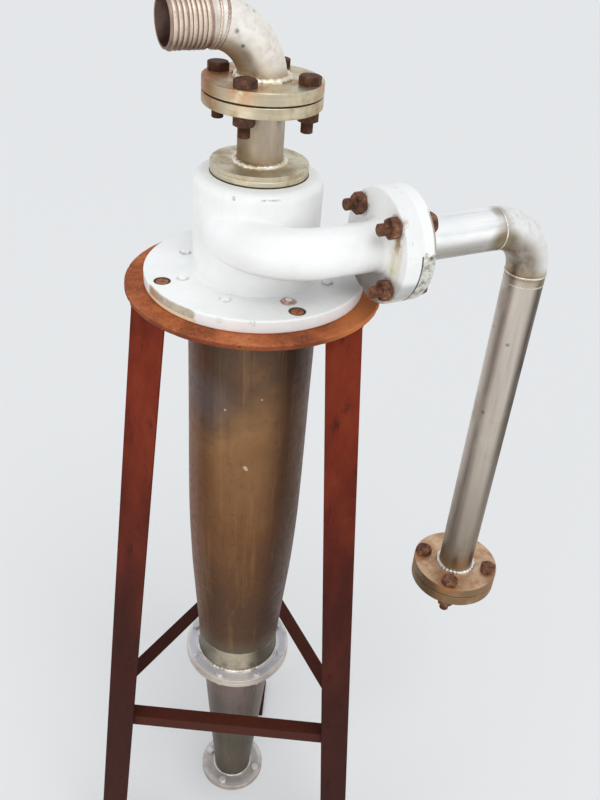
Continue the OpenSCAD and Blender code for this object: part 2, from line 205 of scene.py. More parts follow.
def startMaterial(name, metallic, roughness):
    material = bpy.data.materials.new(name)
    material.use_nodes = True
    tree = material.node_tree
    now.update(material=material, tree=tree, shader=tree.nodes["Principled BSDF"])
    now["where"] = addNode("TexCoord", {}).outputs["Object"]
    setShader("Metallic", metallic)
    setShader("Roughness", roughness)


def endMaterial(*bumps):  # bump layers, each (height, metres)
    normal = None
    for height, depth in bumps:
        plugs = {"Height": height, "Distance": depth}
        if normal:
            plugs["Normal"] = normal
        normal = addNode("Bump", plugs).outputs[0]
    setShader("Normal", normal)
    setShader("Base Color", now["colour"])
    return now["material"]


def grain(scale, detail=4, rough=0.6, stretch=(1, 1, 1), shift=(0, 0, 0)):
    mapping = addNode("Mapping", {"Vector": now["where"], "Scale": stretch, "Location": shift})
    plugs = {"Vector": mapping.outputs[0], "Scale": scale, "Detail": detail, "Roughness": rough}
    return addNode("TexNoise", plugs).outputs["Fac"]


def cells(scale, shift=(0, 0, 0)):
    mapping = addNode("Mapping", {"Vector": now["where"], "Location": shift})
    return addNode("TexVoronoi", {"Vector": mapping.outputs[0], "Scale": scale}).outputs["Distance"]


def fade(value, start, end):  # 0 at start, 1 at end, smooth between
    plugs = {"Value": value, "From Min": start, "From Max": end}
    return addNode("MapRange", plugs, interpolation_type="SMOOTHSTEP").outputs[0]


def both(*masks):
    product = masks[0]
    for mask in masks[1:]:
        product = calc("MULTIPLY", product, mask)
    return product


def either(*masks):
    most = masks[0]
    for mask in masks[1:]:
        most = calc("MAXIMUM", most, mask)
    return most


def without(mask):
    return calc("SUBTRACT", 1.0, mask)


def plus(first, second):
    return calc("ADD", first, second)


def jitter(value, reach):  # noise round zero
    return calc("MULTIPLY", calc("SUBTRACT", value, 0.5), reach)


def band(value, start, full, last, end):  # 1 from full to last, 0 before start and after end
    return both(fade(value, start, full), fade(value, end, last))


def near(value, place, half, soft):
    return fade(calc("ABSOLUTE", calc("SUBTRACT", value, place)), half + soft, half)


def ladder(value, stops):
    node = addNode("ValToRGB", {"Fac": value})
    steps = node.color_ramp.elements
    while len(steps) < len(stops):
        steps.new(0.5)
    for step, (place, shade) in zip(steps, stops):
        step.position, step.color = place, tone(*shade)
    return node.outputs["Color"]


def baseTone(value, *stops):
    now["colour"] = ladder(value, stops)


def lay(shade, *masks):  # a tone, or a socket that gives one, over what is there
    over = shade if isinstance(shade, bpy.types.NodeSocket) else tone(*shade)
    plugs = {0: both(*masks), 6: now["colour"], 7: over}
    now["colour"] = addNode("Mix", plugs, data_type="RGBA").outputs[2]


def axisValue(axis):
    return addNode("SeparateXYZ", {0: now["where"]}).outputs[axis]


def fromCentre(centre, operation="SUBTRACT"):
    return addNode("VectorMath", {0: now["where"], 1: centre}, operation=operation).outputs


def nearPoint(centre, radius, soft):
    return fade(fromCentre(centre, "DISTANCE")["Value"], radius + soft, radius)


def awayFromAxis(axis, centre=(0, 0, 0)):  # distance from a line along axis through centre
    keep = [0 if i == "XYZ".index(axis) else 1 for i in range(3)]
    flat = addNode("VectorMath", {0: fromCentre(centre)[0], 1: keep}, operation="MULTIPLY").outputs[0]
    return addNode("VectorMath", {0: flat}, operation="LENGTH").outputs["Value"]


def azimuth():  # degrees round the cyclone's axis, -180 to 180
    return calc("DEGREES", calc("ARCTAN2", axisValue("Y"), axisValue("X")))


sideways = (0.873, -0.487, 0)  # level, left to right as the stand's front shows


def across(centre=(0, 0, 0), direction=sideways):  # metres along a direction, past a centre
    plugs = {0: fromCentre(centre)[0], 1: direction}
    return addNode("VectorMath", plugs, operation="DOT_PRODUCT").outputs["Value"]


# Masks that a material asks for once it has been started


def sideMask(start, end, centre=(0, 0, 0), direction=sideways):  # grows along a direction
    return lambda: fade(across(centre, direction), start, end)


def roundMask(axis, centre, start, end):  # grows with the distance from a line
    return lambda: fade(awayFromAxis(axis, centre), start, end)


def spotMask(centre, radius, soft):
    return lambda: nearPoint(centre, radius, soft)


def ringMask(radius, half, soft):  # a ring round the cyclone's axis
    return lambda: near(awayFromAxis("Z"), radius, half, soft)


# Places that materials and meshes share

inletAxis = Vector((0, middle("inlet_flange").y, middle("inlet_flange").z))
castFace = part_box("inlet_flange")[0].x
plateFoot, plateTop = (corner.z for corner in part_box("head_plate"))
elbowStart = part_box("spool_pipe")[1].x
dropAxis = Vector((middle("drop_pipe").x, middle("drop_pipe").y, 0))
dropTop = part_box("drop_pipe")[1].z
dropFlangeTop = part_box("drop_flange")[1].z
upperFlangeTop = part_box("outlet_upper_flange")[1].z
outletAxisHeight = middle("ribbed_joint").z
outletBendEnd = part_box("ribbed_joint")[1].x
outletBendStart = outletAxisHeight + outletBendEnd  # a quarter turn is as high as it is long
boltOffset = 42.6 * mm  # from a pipe flange's axis, along either side
holdCircle = 135 * mm
screwCircle = 106 * mm
eighths = [Vector((math.cos(i * math.pi / 4), math.sin(i * math.pi / 4), 0)) for i in range(8)]


# White paint

scuffs = {
    "spots": [((-0.0611, -0.0605, 1.4489), 2.2 * mm), ((-0.0335, -0.0792, 1.4125), 2.8 * mm)],
    "line": (-0.020, -0.083, 1.4498),
    "lineHalf": 0.7 * mm,
    "lineReach": (9 * mm, 6 * mm),
    "soft": 1.5 * mm,
}


def makeWhitePaint():
    startMaterial("whitePaint", 0, 0.36)
    clouds = grain(9, 5)
    baseTone(clouds, (0.35, (238, 238, 235)), (0.62, (250, 250, 248)))
    dirt = fade(grain(38, 8, 0.72, (1, 1, 0.35)), 0.58, 0.76)
    lay((190, 186, 172), dirt, 0.24)
    specks = both(fade(cells(140), 0.09, 0.03), fade(grain(21, 2, 0.5, shift=(3, 1, 7)), 0.60, 0.68))
    lay((132, 120, 110), specks, 0.75)
    layFlangeStainsAndShade()
    layPlateMarks()
    spots = [nearPoint(place, size, scuffs["soft"]) for place, size in scuffs["spots"]]
    level = near(axisValue("Z"), scuffs["line"][2], scuffs["lineHalf"], scuffs["lineHalf"])
    line = both(level, nearPoint(scuffs["line"], *scuffs["lineReach"]))
    lay((138, 140, 146), either(*spots, line), fade(grain(260, 4), 0.40, 0.52), 0.6)
    setShader("Roughness", remap(clouds, 0.3, 0.48))
    peel = grain(420, 2, 0.5)
    runs = grain(34, 3, 0.5, (1, 1, 0.5))
    return endMaterial((runs, 0.0020), (peel, 0.00016), (specks, -0.0004))


flangeStainsAndShade = {  # stains and painted shade on the cast inlet flange, heights and sides as the photo shows them
    "offPlate": (0.1545, 0.1560),  # further out than the plate's rim
    "streak": (-0.1765, 3 * mm, 15 * mm),
    "streakHeights": (1.330, 1.385, 1.408, 1.424),
    "start": (-0.1750, 1.6 * mm, 7.5 * mm),
    "startHeights": (1.394, 1.416, 1.422, 1.430),
    "green": ((castFace, -0.172, 1.376), 2 * mm, 10 * mm),
    "footHeights": (1.372, 1.326),
    "dropHeights": (1.340, 1.318),
    # painted shade with some dirt, low on the flange's far side
    "shadeDirtHeights": (1.372, 1.350),
    "shadeDirtSides": (-0.165, -0.140),
    # painted shade on the nozzle's underside
    "nozzleShadeReach": (0.088, 0.094),
    "nozzleShadeHeights": (1.330, 1.345, 1.360, 1.374),
    "nutRust": (15 * mm, 4 * mm),
    "edgeReach": (71.5 * mm, 74.5 * mm),
    "edgeDepth": (3 * mm, 1 * mm),
}


def layFlangeStainsAndShade():
    ragged = grain(120, 6, 0.7)
    drip = grain(60, 5, 0.6, (1.3, 1.3, 0.12))
    height, along, depth = axisValue("Z"), axisValue("X"), axisValue("Y")
    reach = awayFromAxis("Z")
    offPlate = either(fade(height, plateTop + mm, plateTop + 4 * mm), fade(reach, *flangeStainsAndShade["offPlate"]))
    onFlange = both(fade(along, castFace - 18 * mm, castFace - 4 * mm), offPlate)
    # Yellow-brown streak under the front upper nut, dark where it starts
    swayed = plus(depth, jitter(ragged, 20 * mm))
    streak = both(near(swayed, *flangeStainsAndShade["streak"]), onFlange)
    lay((216, 198, 150), streak, band(height, *flangeStainsAndShade["streakHeights"]), fade(drip, 0.26, 0.60), 0.7)
    start = both(near(swayed, *flangeStainsAndShade["start"]), onFlange)
    lay((140, 106, 62), start, band(height, *flangeStainsAndShade["startHeights"]), 0.9)
    lay((190, 188, 96), nearPoint(*flangeStainsAndShade["green"]), fade(ragged, 0.40, 0.56), 0.7)
    # Grey-green dirt at the flange's foot, painted shade with some dirt low on the flange's far side, and
    # painted shade under the nozzle's end
    lay((176, 172, 146), onFlange, fade(height, *flangeStainsAndShade["footHeights"]), fade(drip, 0.30, 0.56), 0.55)
    lay((124, 104, 62), onFlange, fade(height, *flangeStainsAndShade["dropHeights"]), fade(ragged, 0.40, 0.58), 0.7)
    # Painted shade with some dirt, low on the flange's far side
    shadeAndDirtBehind = both(fade(height, *flangeStainsAndShade["shadeDirtHeights"]), fade(depth, *flangeStainsAndShade["shadeDirtSides"]))
    lay((116, 106, 96), onFlange, shadeAndDirtBehind, fade(drip, 0.10, 0.40), 0.8)
    # Painted shade: neutral grey on the nozzle's underside
    under = both(fade(reach, *flangeStainsAndShade["nozzleShadeReach"]), band(height, *flangeStainsAndShade["nozzleShadeHeights"]))
    lay((138, 138, 138), under, 0.6)
    # Rust close round the nuts, and blue-grey chips on the flange's edge
    nuts = [inletAxis + Vector((castFace, boltOffset * side, boltOffset * level))
            for side in (-1, 1) for level in (-1, 1)]
    nuts = either(*[nearPoint(nut, *flangeStainsAndShade["nutRust"]) for nut in nuts])
    lay((150, 112, 74), nuts, fade(ragged, 0.42, 0.60), 0.7)
    edge = fade(along, *(castFace - depth for depth in flangeStainsAndShade["edgeDepth"]))
    edge = both(edge, fade(awayFromAxis("X", inletAxis), *flangeStainsAndShade["edgeReach"]))
    lay((150, 154, 164), edge, fade(grain(85, 4, 0.6, shift=(2, 5, 3)), 0.66, 0.71), 0.6)


plateWearAndShade = {  # wear and a painted shadow on the head plate, turns in degrees round the axis
    "rimReach": (0.1508, 0.1524),
    "rimRise": (0.5 * mm, -1.5 * mm),
    "bareTurns": (-181, -177, -146, -142),
    "rustyTurns": (-165, -174),
    "creamRise": (7.8 * mm, 5 * mm),
    "nickTurns": (-130.7, -115.0),
    "nickSpread": (-2.4, -0.4, 0.4, 2.4),
    "nickRise": (8 * mm, 14 * mm),
    "shade": ((0.104, -0.078, plateTop), 10 * mm, 50 * mm),  # painted shadow of the nozzle on the plate
    "holeLine": (11.3 * mm, 0.9 * mm),
    "screwLine": (6.2 * mm, 8.2 * mm),
    "screwSoft": 1.2 * mm,
    "chipped": (0.001, -0.107, plateTop),  # the front screw
    "chip": ((4.8 * mm, 1.5 * mm), (8.5 * mm, 4.5 * mm)),  # inner and outer line, each with its softness
}


def layPlateMarks():
    ragged = grain(120, 6, 0.7)
    height, turn = axisValue("Z"), azimuth()
    lift = Vector((0, 0, plateTop))
    # Bare steel where the rim is rubbed, rusty at its end and cream along its foot
    rim = fade(height, *(plateTop + level for level in plateWearAndShade["rimRise"]))
    rim = both(rim, fade(awayFromAxis("Z"), *plateWearAndShade["rimReach"]))
    rubbed = both(rim, band(plus(turn, jitter(ragged, 9)), *plateWearAndShade["bareTurns"]))
    bare = ladder(ragged, [(0.36, (166, 148, 118)), (0.48, (184, 172, 148)), (0.62, (202, 193, 172))])
    lay(bare, rubbed, fade(ragged, 0.16, 0.36), 0.9)
    lay((176, 128, 84), rubbed, fade(turn, *plateWearAndShade["rustyTurns"]), 0.6)
    ledge = plus(height, jitter(ragged, 6 * mm))
    lay((250, 232, 198), rubbed, fade(ledge, *(plateFoot + level for level in plateWearAndShade["creamRise"])), 0.9)
    nicks = [band(turn, *(place + step for step in plateWearAndShade["nickSpread"])) for place in plateWearAndShade["nickTurns"]]
    nicks = both(either(*nicks), rim, fade(height, *(plateFoot + level for level in plateWearAndShade["nickRise"])))
    lay((150, 154, 156), nicks, fade(grain(300, 5, 0.7, shift=(4, 4, 1)), 0.46, 0.54), 0.5)
    # Painted shadow of the nozzle, grey on the plate's top
    onTop = fade(height, plateTop + 4 * mm, plateTop + mm)
    lay((190, 188, 190), nearPoint(*plateWearAndShade["shade"]), onTop, 0.3)
    # A dark line round each let-in bolt, partly rust stain and partly painted shade of the gap, and broken
    # grey lines round the painted screws
    holes = [nearPoint(spot * holdCircle + lift, *plateWearAndShade["holeLine"]) for spot in eighths[::2]]
    lay((92, 56, 40), either(*holes), fade(ragged, 0.22, 0.36), 0.9)
    for i, spot in enumerate(eighths):
        place = spot * screwCircle + lift
        inner, outer = (nearPoint(place, radius, plateWearAndShade["screwSoft"]) for radius in plateWearAndShade["screwLine"])
        line = both(outer, without(inner), fade(ragged, 0.40 - 0.02 * (i % 3), 0.54))
        lay((136, 136, 134), line, 0.5 if i in (3, 7) else 0.3)
    # Paint knocked off round the front screw
    inner, outer = (nearPoint(plateWearAndShade["chipped"], *line) for line in plateWearAndShade["chip"])
    bare = both(outer, without(inner), fade(ragged, 0.38, 0.50))
    lay((206, 158, 146), bare)
    lay((122, 92, 66), bare, fade(grain(210, 4, 0.7, shift=(9, 2, 4)), 0.50, 0.58))


# Rust and stand paint


def makeRingRust():
    startMaterial("ringRust", 0, 0.82)
    setShader("Specular IOR Level", 0.25)
    clouds = grain(16, 8, 0.68)
    baseTone(clouds, (0.30, (108, 56, 34)), (0.46, (152, 80, 44)),
             (0.58, (182, 102, 58)), (0.74, (198, 128, 80)))
    pits = fade(grain(170, 6, 0.7), 0.56, 0.68)
    lay((86, 44, 30), pits, 0.6)
    lay((222, 158, 108), fade(grain(330, 3), 0.60, 0.70), 0.55)
    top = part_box("stand_ring")[1].z
    lay((100, 44, 30), fade(axisValue("Z"), top - mm, top - 4 * mm), 0.62)
    lay((206, 124, 68), fade(across(), 0.09, 0.15), 0.8)
    return endMaterial((clouds, 0.0012), (grain(260, 6, 0.75), 0.0009), (pits, -0.0005))


def makeStandPaint(name, shadeNearFloor):  # the last argument: its tone near the floor, for painted shade on the lower stand
    startMaterial(name, 0, 0.66)
    setShader("Specular IOR Level", 0.12)
    clouds = grain(11, 7, 0.66, (1, 1, 0.4))
    baseTone(clouds, (0.30, (86, 26, 12)), (0.45, (108, 34, 16)),
             (0.58, (122, 44, 22)), (0.75, (136, 58, 32)))
    rust = fade(grain(64, 8, 0.7), 0.57, 0.68)
    lay((138, 66, 30), rust, 0.6)
    lay((58, 20, 12), fade(grain(46, 6, 0.7, (1, 1, 0.3), (5, 2, 9)), 0.56, 0.70), 0.7)
    # Painted shade: darker towards the floor
    lay(shadeNearFloor, fade(plus(axisValue("Z"), jitter(clouds, 0.5)), 1.34, 0.5), 0.88)
    setShader("Roughness", remap(rust, 0.56, 0.88))
    return endMaterial((clouds, 0.0014), (rust, 0.0004), (grain(240, 5, 0.7), 0.0005))


def makeBoltRust():
    startMaterial("boltRust", 0.1, 0.72)
    setShader("Specular IOR Level", 0.3)
    clouds = grain(95, 8, 0.7)
    baseTone(clouds, (0.32, (46, 28, 22)), (0.44, (92, 58, 42)),
             (0.56, (126, 84, 62)), (0.68, (176, 130, 102)))
    lay((62, 36, 22), fade(axisValue("Z"), 1.48, 1.52), 0.65)  # the outlet's bolts are darker
    return endMaterial((clouds, 0.0009), (grain(620, 5, 0.7), 0.0005))


def makeHoldRust():  # the let-in heads: orange-brown, with black painted shade round the rim
    startMaterial("holdRust", 0.05, 0.75)
    clouds = grain(150, 7, 0.7)
    baseTone(clouds, (0.34, (122, 70, 44)), (0.55, (162, 100, 64)), (0.72, (190, 126, 86)))
    away = [awayFromAxis("Z", spot * holdCircle) for spot in eighths[::2]]
    nearest = away[0]
    for reach in away[1:]:
        nearest = calc("MINIMUM", nearest, reach)
    # Painted shade: black round each head's rim, where the gap is
    lay((62, 32, 24), fade(nearest, 8.0 * mm, 9.2 * mm))
    return endMaterial((clouds, 0.0007))


# Bare steel

bodyMarks = {
    # a grey-blue painted reflection on the body's left
    "greyReflection": ((-0.087, -0.026, 1.14), 16 * mm, 55 * mm),
    "chips": [((-0.0399, -0.0835, 1.0334), 2.2 * mm), ((-0.0380, -0.0842, 1.0300), 1.7 * mm),
              ((-0.0666, -0.0642, 1.1337), 0.8 * mm), ((-0.0212, -0.0900, 1.1569), 0.5 * mm)],
}


def makeTarnishedBody():
    startMaterial("tarnishedBody", 0.55, 0.46)
    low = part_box("body_cone")[0].z
    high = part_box("body_barrel")[1].z
    height = axisValue("Z")
    baseTone(plus(remap(height, 0, 1, low, high), jitter(grain(7, 5, 0.6), 0.5)),
             (0.02, (90, 62, 40)), (0.22, (86, 55, 29)), (0.45, (118, 76, 40)),
             (0.70, (146, 106, 66)), (0.82, (100, 74, 53)), (0.95, (74, 55, 42)))
    # Redder on the left; purple-brown painted shade towards the right edge, and a grey-blue painted
    # reflection on the left
    side = across()
    lay((128, 74, 40), fade(side, -0.035, -0.085), 0.6)
    lay((74, 48, 38), fade(side, 0.02, 0.075), 0.7)
    lay((112, 104, 104), nearPoint(*bodyMarks["greyReflection"]), 0.5)
    streaks = grain(55, 7, 0.68, (1, 1, 0.06))
    lay((168, 128, 84), fade(streaks, 0.52, 0.74), 0.35)
    lay((76, 52, 38), fade(streaks, 0.46, 0.28), 0.45)
    mottle = grain(90, 8, 0.72)
    lay((80, 56, 42), fade(mottle, 0.54, 0.7), 0.4)
    lay((112, 102, 84), fade(plus(height, both(streaks, 20 * mm)), low + 60 * mm, low + 12 * mm), 0.55)
    nicks = both(fade(cells(46), 0.05, 0.02), fade(grain(14, 2, shift=(8, 3, 2)), 0.6, 0.64))
    chips = either(*[nearPoint(place, size, 1.6 * mm) for place, size in bodyMarks["chips"]])
    nicks = either(nicks, both(chips, fade(mottle, 0.30, 0.44)))
    lay((210, 198, 178), nicks, 0.75)
    setShader("Roughness", remap(mottle, 0.38, 0.6, 0.3, 0.7))
    return endMaterial((streaks, 0.0006), (mottle, 0.00025), (nicks, -0.0002))


def turningMarks(axis, centre):  # fine rings from the lathe, 5200 radians a metre
    return calc("SINE", both(awayFromAxis(axis, centre), 5200))


def makeStainless(name, base, stain, stained, rough, metallic=1, centre=(0, 0, 0), rustSpots=(), dirtAndPaintedLight=()):
    startMaterial(name, metallic, rough)
    clouds = grain(18, 6, 0.62)
    baseTone(clouds, (0.3, times(base, 0.9)), (0.7, base))
    lay(times(base, 0.8), fade(grain(26, 5, 0.66, (0.5, 0.5, 12), (3, 3, 3)), 0.40, 0.62), 0.3)
    # Tones laid by mask: real dirt, and painted shade and reflection where noted
    for mask, shade in dirtAndPaintedLight:
        lay(shade, mask(), fade(clouds, 0.2, 0.5))
    spill = fade(grain(34, 7, 0.66, (1, 1, 0.7), (2, 4, 1)), 0.42, 0.68)
    lay(stain, spill, stained)
    spots = fade(grain(150, 5, 0.7), 0.62, 0.72)
    lay(times(stain, 0.62), spots, stained * 0.7)
    shiny = metallic
    for place, size in rustSpots:  # rust washed off a bolt
        wash = both(nearPoint(place, size * 0.5, size), fade(grain(52, 6, 0.7), 0.34, 0.56))
        lay((178, 116, 66), wash, 0.85)
        shiny = both(shiny, without(both(wash, 0.5)))
    setShader("Metallic", shiny)
    setShader("Roughness", remap(spill, rough * 0.85, rough * 1.5))
    lines = grain(60, 3, 0.6, (1, 1, 14))
    return endMaterial((turningMarks("Z", centre), 0.00003), (lines, 0.00022), (spots, -0.00012))


spoolWhiteTop = {  # white on the upper half of the spool flange, paint that also stands in for a painted reflection of the sky; heights rise from the pipe's axis
    "ends": (12 * mm, 20 * mm),
    # the dark far edge: partly rust, partly painted shade
    "rustAndShadeEdge": (4.2 * mm, 2.2 * mm),
    "edgeEnds": (68 * mm, 54 * mm),
}


def makeSpoolFlangeSteel():
    startMaterial("spoolFlangeSteel", 1, 0.34)
    blotch = grain(70, 6, 0.7)
    baseTone(blotch, (0.36, (112, 110, 98)), (0.48, (214, 212, 202)),
             (0.60, (240, 238, 230)), (0.70, (150, 140, 118)))
    level = plus(axisValue("Z"), jitter(blotch, 0.05))
    # White over the upper half: paint, and a painted reflection of the sky
    paintAndSkySheen = fade(level, *(inletAxis.z + rise for rise in spoolWhiteTop["ends"]))
    lay((247, 247, 244), paintAndSkySheen)
    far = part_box("spool_flange")[1].x
    # A dark line along the far edge, partly rust and partly painted shade
    edge = both(paintAndSkySheen, fade(axisValue("X"), *(far - depth for depth in spoolWhiteTop["rustAndShadeEdge"])))
    lay((150, 122, 88), edge, fade(level, *(inletAxis.z + rise for rise in spoolWhiteTop["edgeEnds"])), 0.8)
    setShader("Metallic", without(paintAndSkySheen))
    lines = grain(60, 3, 0.6, (14, 1, 1))
    return endMaterial((turningMarks("X", inletAxis), 0.00003), (lines, 0.0003), (blotch, 0.0003))


def makePipeSteel(name, base, lengthwise, welds=(), dirtAndPaintedLight=(), rough=0.42):  # the last but one argument: masks and their tones, for real dirt and for painted shade and reflection
    startMaterial(name, 1, rough)
    streaks = grain(95, 6, 0.66, lengthwise)
    baseTone(streaks, (0.30, times(base, 0.92)), (0.5, base), (0.70, times(base, 1.05)))
    haze = fade(grain(15, 6, 0.62), 0.46, 0.68)
    lay((196, 182, 160), haze, 0.12)
    # Tones laid by mask: real dirt, and painted shade where noted
    for mask, shade in dirtAndPaintedLight:
        lay(shade, mask(), remap(streaks, 0.7, 1, 0.3, 0.6))
    for axis, place, reach, strength in welds:  # heat tint each side of a weld
        along = axisValue(axis)
        lay((178, 152, 112), near(along, place, reach * 0.35, reach), both(grain(46, 4), 1.3), strength)
        lay((124, 102, 82), near(along, place, 3.2 * mm, 3 * mm), strength, 0.5)
    spots = both(fade(cells(42, (4, 1, 2)), 0.17, 0.1), fade(grain(11, 2, shift=(1, 6, 4)), 0.58, 0.64))
    lay((112, 104, 96), spots, 0.6)
    setShader("Roughness", remap(haze, rough * 0.85, rough * 1.35))
    return endMaterial((streaks, 0.00014), (grain(210, 4, 0.6), 0.0001))


def makeGreySteel():
    startMaterial("greySteel", 0.7, 0.48)
    low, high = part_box("lower_cone")
    level = plus(remap(axisValue("Z"), 0, 1, low.z, high.z), both(grain(13, 5), 0.3))
    baseTone(level, (0.15, (104, 94, 80)), (0.5, (90, 82, 68)), (0.85, (112, 98, 90)), (1.0, (132, 112, 104)))
    streaks = grain(70, 7, 0.68, (1, 1, 0.08))
    lay((146, 136, 118), fade(streaks, 0.54, 0.72), 0.4)
    lay((60, 54, 45), fade(streaks, 0.46, 0.3), 0.5)
    return endMaterial((streaks, 0.0005), (grain(180, 5, 0.7), 0.0002))


def makeWeldMetal(name, dark, mid, light):
    startMaterial(name, 1, 0.38)
    baseTone(grain(70, 5, 0.65), (0.3, dark), (0.5, mid), (0.7, light))
    return endMaterial((grain(500, 4), 0.0003))


def makeGasket():
    startMaterial("gasketSheet", 0, 0.85)
    fibres = grain(300, 6, 0.7)
    baseTone(fibres, (0.35, (34, 32, 30)), (0.65, (66, 60, 54)))
    return endMaterial((fibres, 0.0004))


# The materials

whitePaint = makeWhitePaint()
ringRust = makeRingRust()
# Stand paint, darker near the floor as painted shade; the braces' copy is shaded less
standPaint = makeStandPaint("standPaint", (42, 16, 11))
bracePaint = makeStandPaint("bracePaint", (66, 32, 22))
tarnishedBody = makeTarnishedBody()
# The cone flanges: a grey ring between bright ones is a painted reflection, and the darker rim is painted
# shade
brightSteel = makeStainless(
    "brightSteel", (240, 236, 232), (186, 160, 128), 0.22, 0.4, 0.6,
    dirtAndPaintedLight=[(ringMask(85 * mm, 4 * mm, 4 * mm), (206, 205, 212)),
           (roundMask("Z", (0, 0, 0), 95 * mm, 95.8 * mm), (214, 203, 192))])
# The underflow flange: a grey ring is a painted reflection, and the darker rim is painted shade
underflowSteel = makeStainless(
    "underflowSteel", (230, 221, 218), (158, 140, 118), 0.4, 0.44, 0.65,
    dirtAndPaintedLight=[(ringMask(48 * mm, 5 * mm, 4 * mm), (190, 183, 182)),
           (roundMask("Z", (0, 0, 0), 63.4 * mm, 64.2 * mm), (176, 164, 154))])
# The band: painted shade on both sides, the front left light
bandSteel = makeStainless(
    "bandSteel", (204, 194, 172), (150, 132, 100), 0.35, 0.4,
    dirtAndPaintedLight=[(sideMask(12 * mm, 52 * mm), (112, 104, 90)), (sideMask(-30 * mm, -66 * mm), (124, 118, 106))])
spoolFlangeSteel = makeSpoolFlangeSteel()
stainedSteel = makeStainless(
    "stainedSteel", (222, 208, 178), (158, 122, 78), 0.6, 0.42,
    rustSpots=[((-0.0500, 0.0300, upperFlangeTop), 34 * mm),
               ((-boltOffset, -boltOffset, upperFlangeTop), 22 * mm),
               ((boltOffset, -boltOffset, upperFlangeTop), 18 * mm)],
    dirtAndPaintedLight=[(sideMask(-34 * mm, -68 * mm), (158, 112, 74))])
discSteel = makeStainless("discSteel", (230, 219, 192), (156, 128, 84), 0.45, 0.42)
dropSteel = makeStainless(
    "dropSteel", (224, 190, 156), (172, 120, 82), 0.6, 0.46, centre=dropAxis,
    rustSpots=[(dropAxis + Vector((-boltOffset, side, dropFlangeTop)), 22 * mm)
               for side in (boltOffset, -boltOffset)],
    dirtAndPaintedLight=[(roundMask("Z", dropAxis, 74.2 * mm, 75.8 * mm), (138, 114, 84))])
# The stub: painted shade on its left side
stubSteel = makePipeSteel(
    "stubSteel", (186, 170, 152), (1, 1, 0.2), [("Z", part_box("cover_disc")[1].z, 12 * mm, 0.6)],
    [(sideMask(10 * mm, -22 * mm), (142, 124, 96))], 0.5)
# The spool pipe: painted shade on its lower half
spoolSteel = makePipeSteel(
    "spoolSteel", (252, 252, 250), (0.12, 1, 1), [("X", elbowStart, 16 * mm, 0.5)],
    [(sideMask(-8 * mm, 12 * mm, inletAxis, (0, -0.12, -0.99)), (176, 170, 162)),
     (spotMask((0.2994, -0.1555, 1.3846), 8 * mm, 22 * mm), (122, 108, 84)),
     (spotMask((0.2975, -0.1334, 1.4202), 4 * mm, 10 * mm), (176, 178, 180))])
# The spool elbow: painted shade on the inner side of the bend
spoolElbowSteel = makePipeSteel(
    "spoolElbowSteel", (246, 244, 240), (1, 1, 1),
    [("X", elbowStart, 12 * mm, 0.4), ("Z", dropTop, 14 * mm, 0.8)],
    [(roundMask("Y", (elbowStart, inletAxis.y, dropTop), 92 * mm, 60 * mm), (146, 131, 114)),
     (spotMask((0.3060, -0.1555, 1.3830), 6 * mm, 22 * mm), (122, 108, 84))])
# The drop pipe: painted shade on its right side
dropPipeSteel = makePipeSteel(
    "dropPipeSteel", (206, 196, 184), (1, 1, 0.07),
    [("Z", dropTop, 14 * mm, 0.8), ("Z", dropFlangeTop, 20 * mm, 0.7)],
    [(sideMask(7 * mm, 21 * mm, dropAxis), (70, 55, 44)),
     (sideMask(-1.1, -0.7, direction=-up), (146, 132, 116))], 0.46)  # darker towards its foot
# The outlet elbow: painted shade on the inner side of the bend
elbowSteel = makePipeSteel(
    "elbowSteel", (246, 238, 228), (1, 1, 1),
    [("Z", upperFlangeTop, 13 * mm, 0.9), ("X", outletBendEnd, 10 * mm, 0.35)],
    [(roundMask("Y", (outletBendEnd, 0, outletBendStart), 70 * mm, 46 * mm), (176, 160, 132)),
     (spotMask((-0.0498, -0.0301, 1.636), 0.8 * mm, 3.6 * mm), (150, 142, 130)),
     (spotMask((-0.0406, -0.0274, 1.6189), 0.8 * mm, 3 * mm), (128, 118, 106))], 0.55)
# The ribbed joint: darker in the hollows between ribs, and painted shade on its underside
ribbedSteel = makePipeSteel(
    "ribbedSteel", (226, 208, 190), (1, 1, 1), (),
    [(roundMask("X", (0, 0, outletAxisHeight), 31.4 * mm, 30.3 * mm), (164, 134, 122)),
     (sideMask(4 * mm, 28 * mm, (0, 0, outletAxisHeight), -up), (128, 102, 86))], 0.5)
greySteel = makeGreySteel()
boltRust = makeBoltRust()
holdRust = makeHoldRust()
goldWeld = makeWeldMetal("goldWeld", (196, 176, 140), (236, 226, 204), (252, 250, 242))
greyWeld = makeWeldMetal("greyWeld", (172, 166, 158), (220, 216, 210), (240, 238, 236))
gasketSheet = makeGasket()
print("materials")


# Mesh building

tiny = 1e-6
quarter = math.pi / 2
still = Matrix()


def rise(height):
    return Matrix.Translation((0, 0, height))


def rolled(angle, axis="Z"):
    return Matrix.Rotation(angle, 4, axis)


def span(node, axis="z"):
    return [getattr(corner, axis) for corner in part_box(node)]


def sizeOf(node):  # low, high and radius of a round CAD node
    low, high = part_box(node)
    return low.z, high.z, (high.x - low.x) / 2


def facesOut(bm):
    bmesh.ops.recalc_face_normals(bm, faces=bm.faces)
    return bm


def capped(bm):
    bmesh.ops.holes_fill(bm, edges=[e for e in bm.edges if e.is_boundary], sides=0)
    return bm


def fullTurn(bm, outline, steps):
    bmesh.ops.spin(bm, geom=outline, axis=up, cent=(0, 0, 0), angle=math.tau, steps=steps, use_merge=True)
    bmesh.ops.remove_doubles(bm, verts=bm.verts, dist=tiny)
    return facesOut(bm)


def turned(points, steps, closed=True):  # an outline of (radius, height) spun round Z
    bm = bmesh.new()
    verts = [bm.verts.new((radius, 0, height)) for radius, height in points]
    followers = verts[1:] + verts[:1] if closed else verts[1:]
    edges = [bm.edges.new(pair) for pair in zip(verts, followers)]
    return fullTurn(bm, verts + edges, steps)


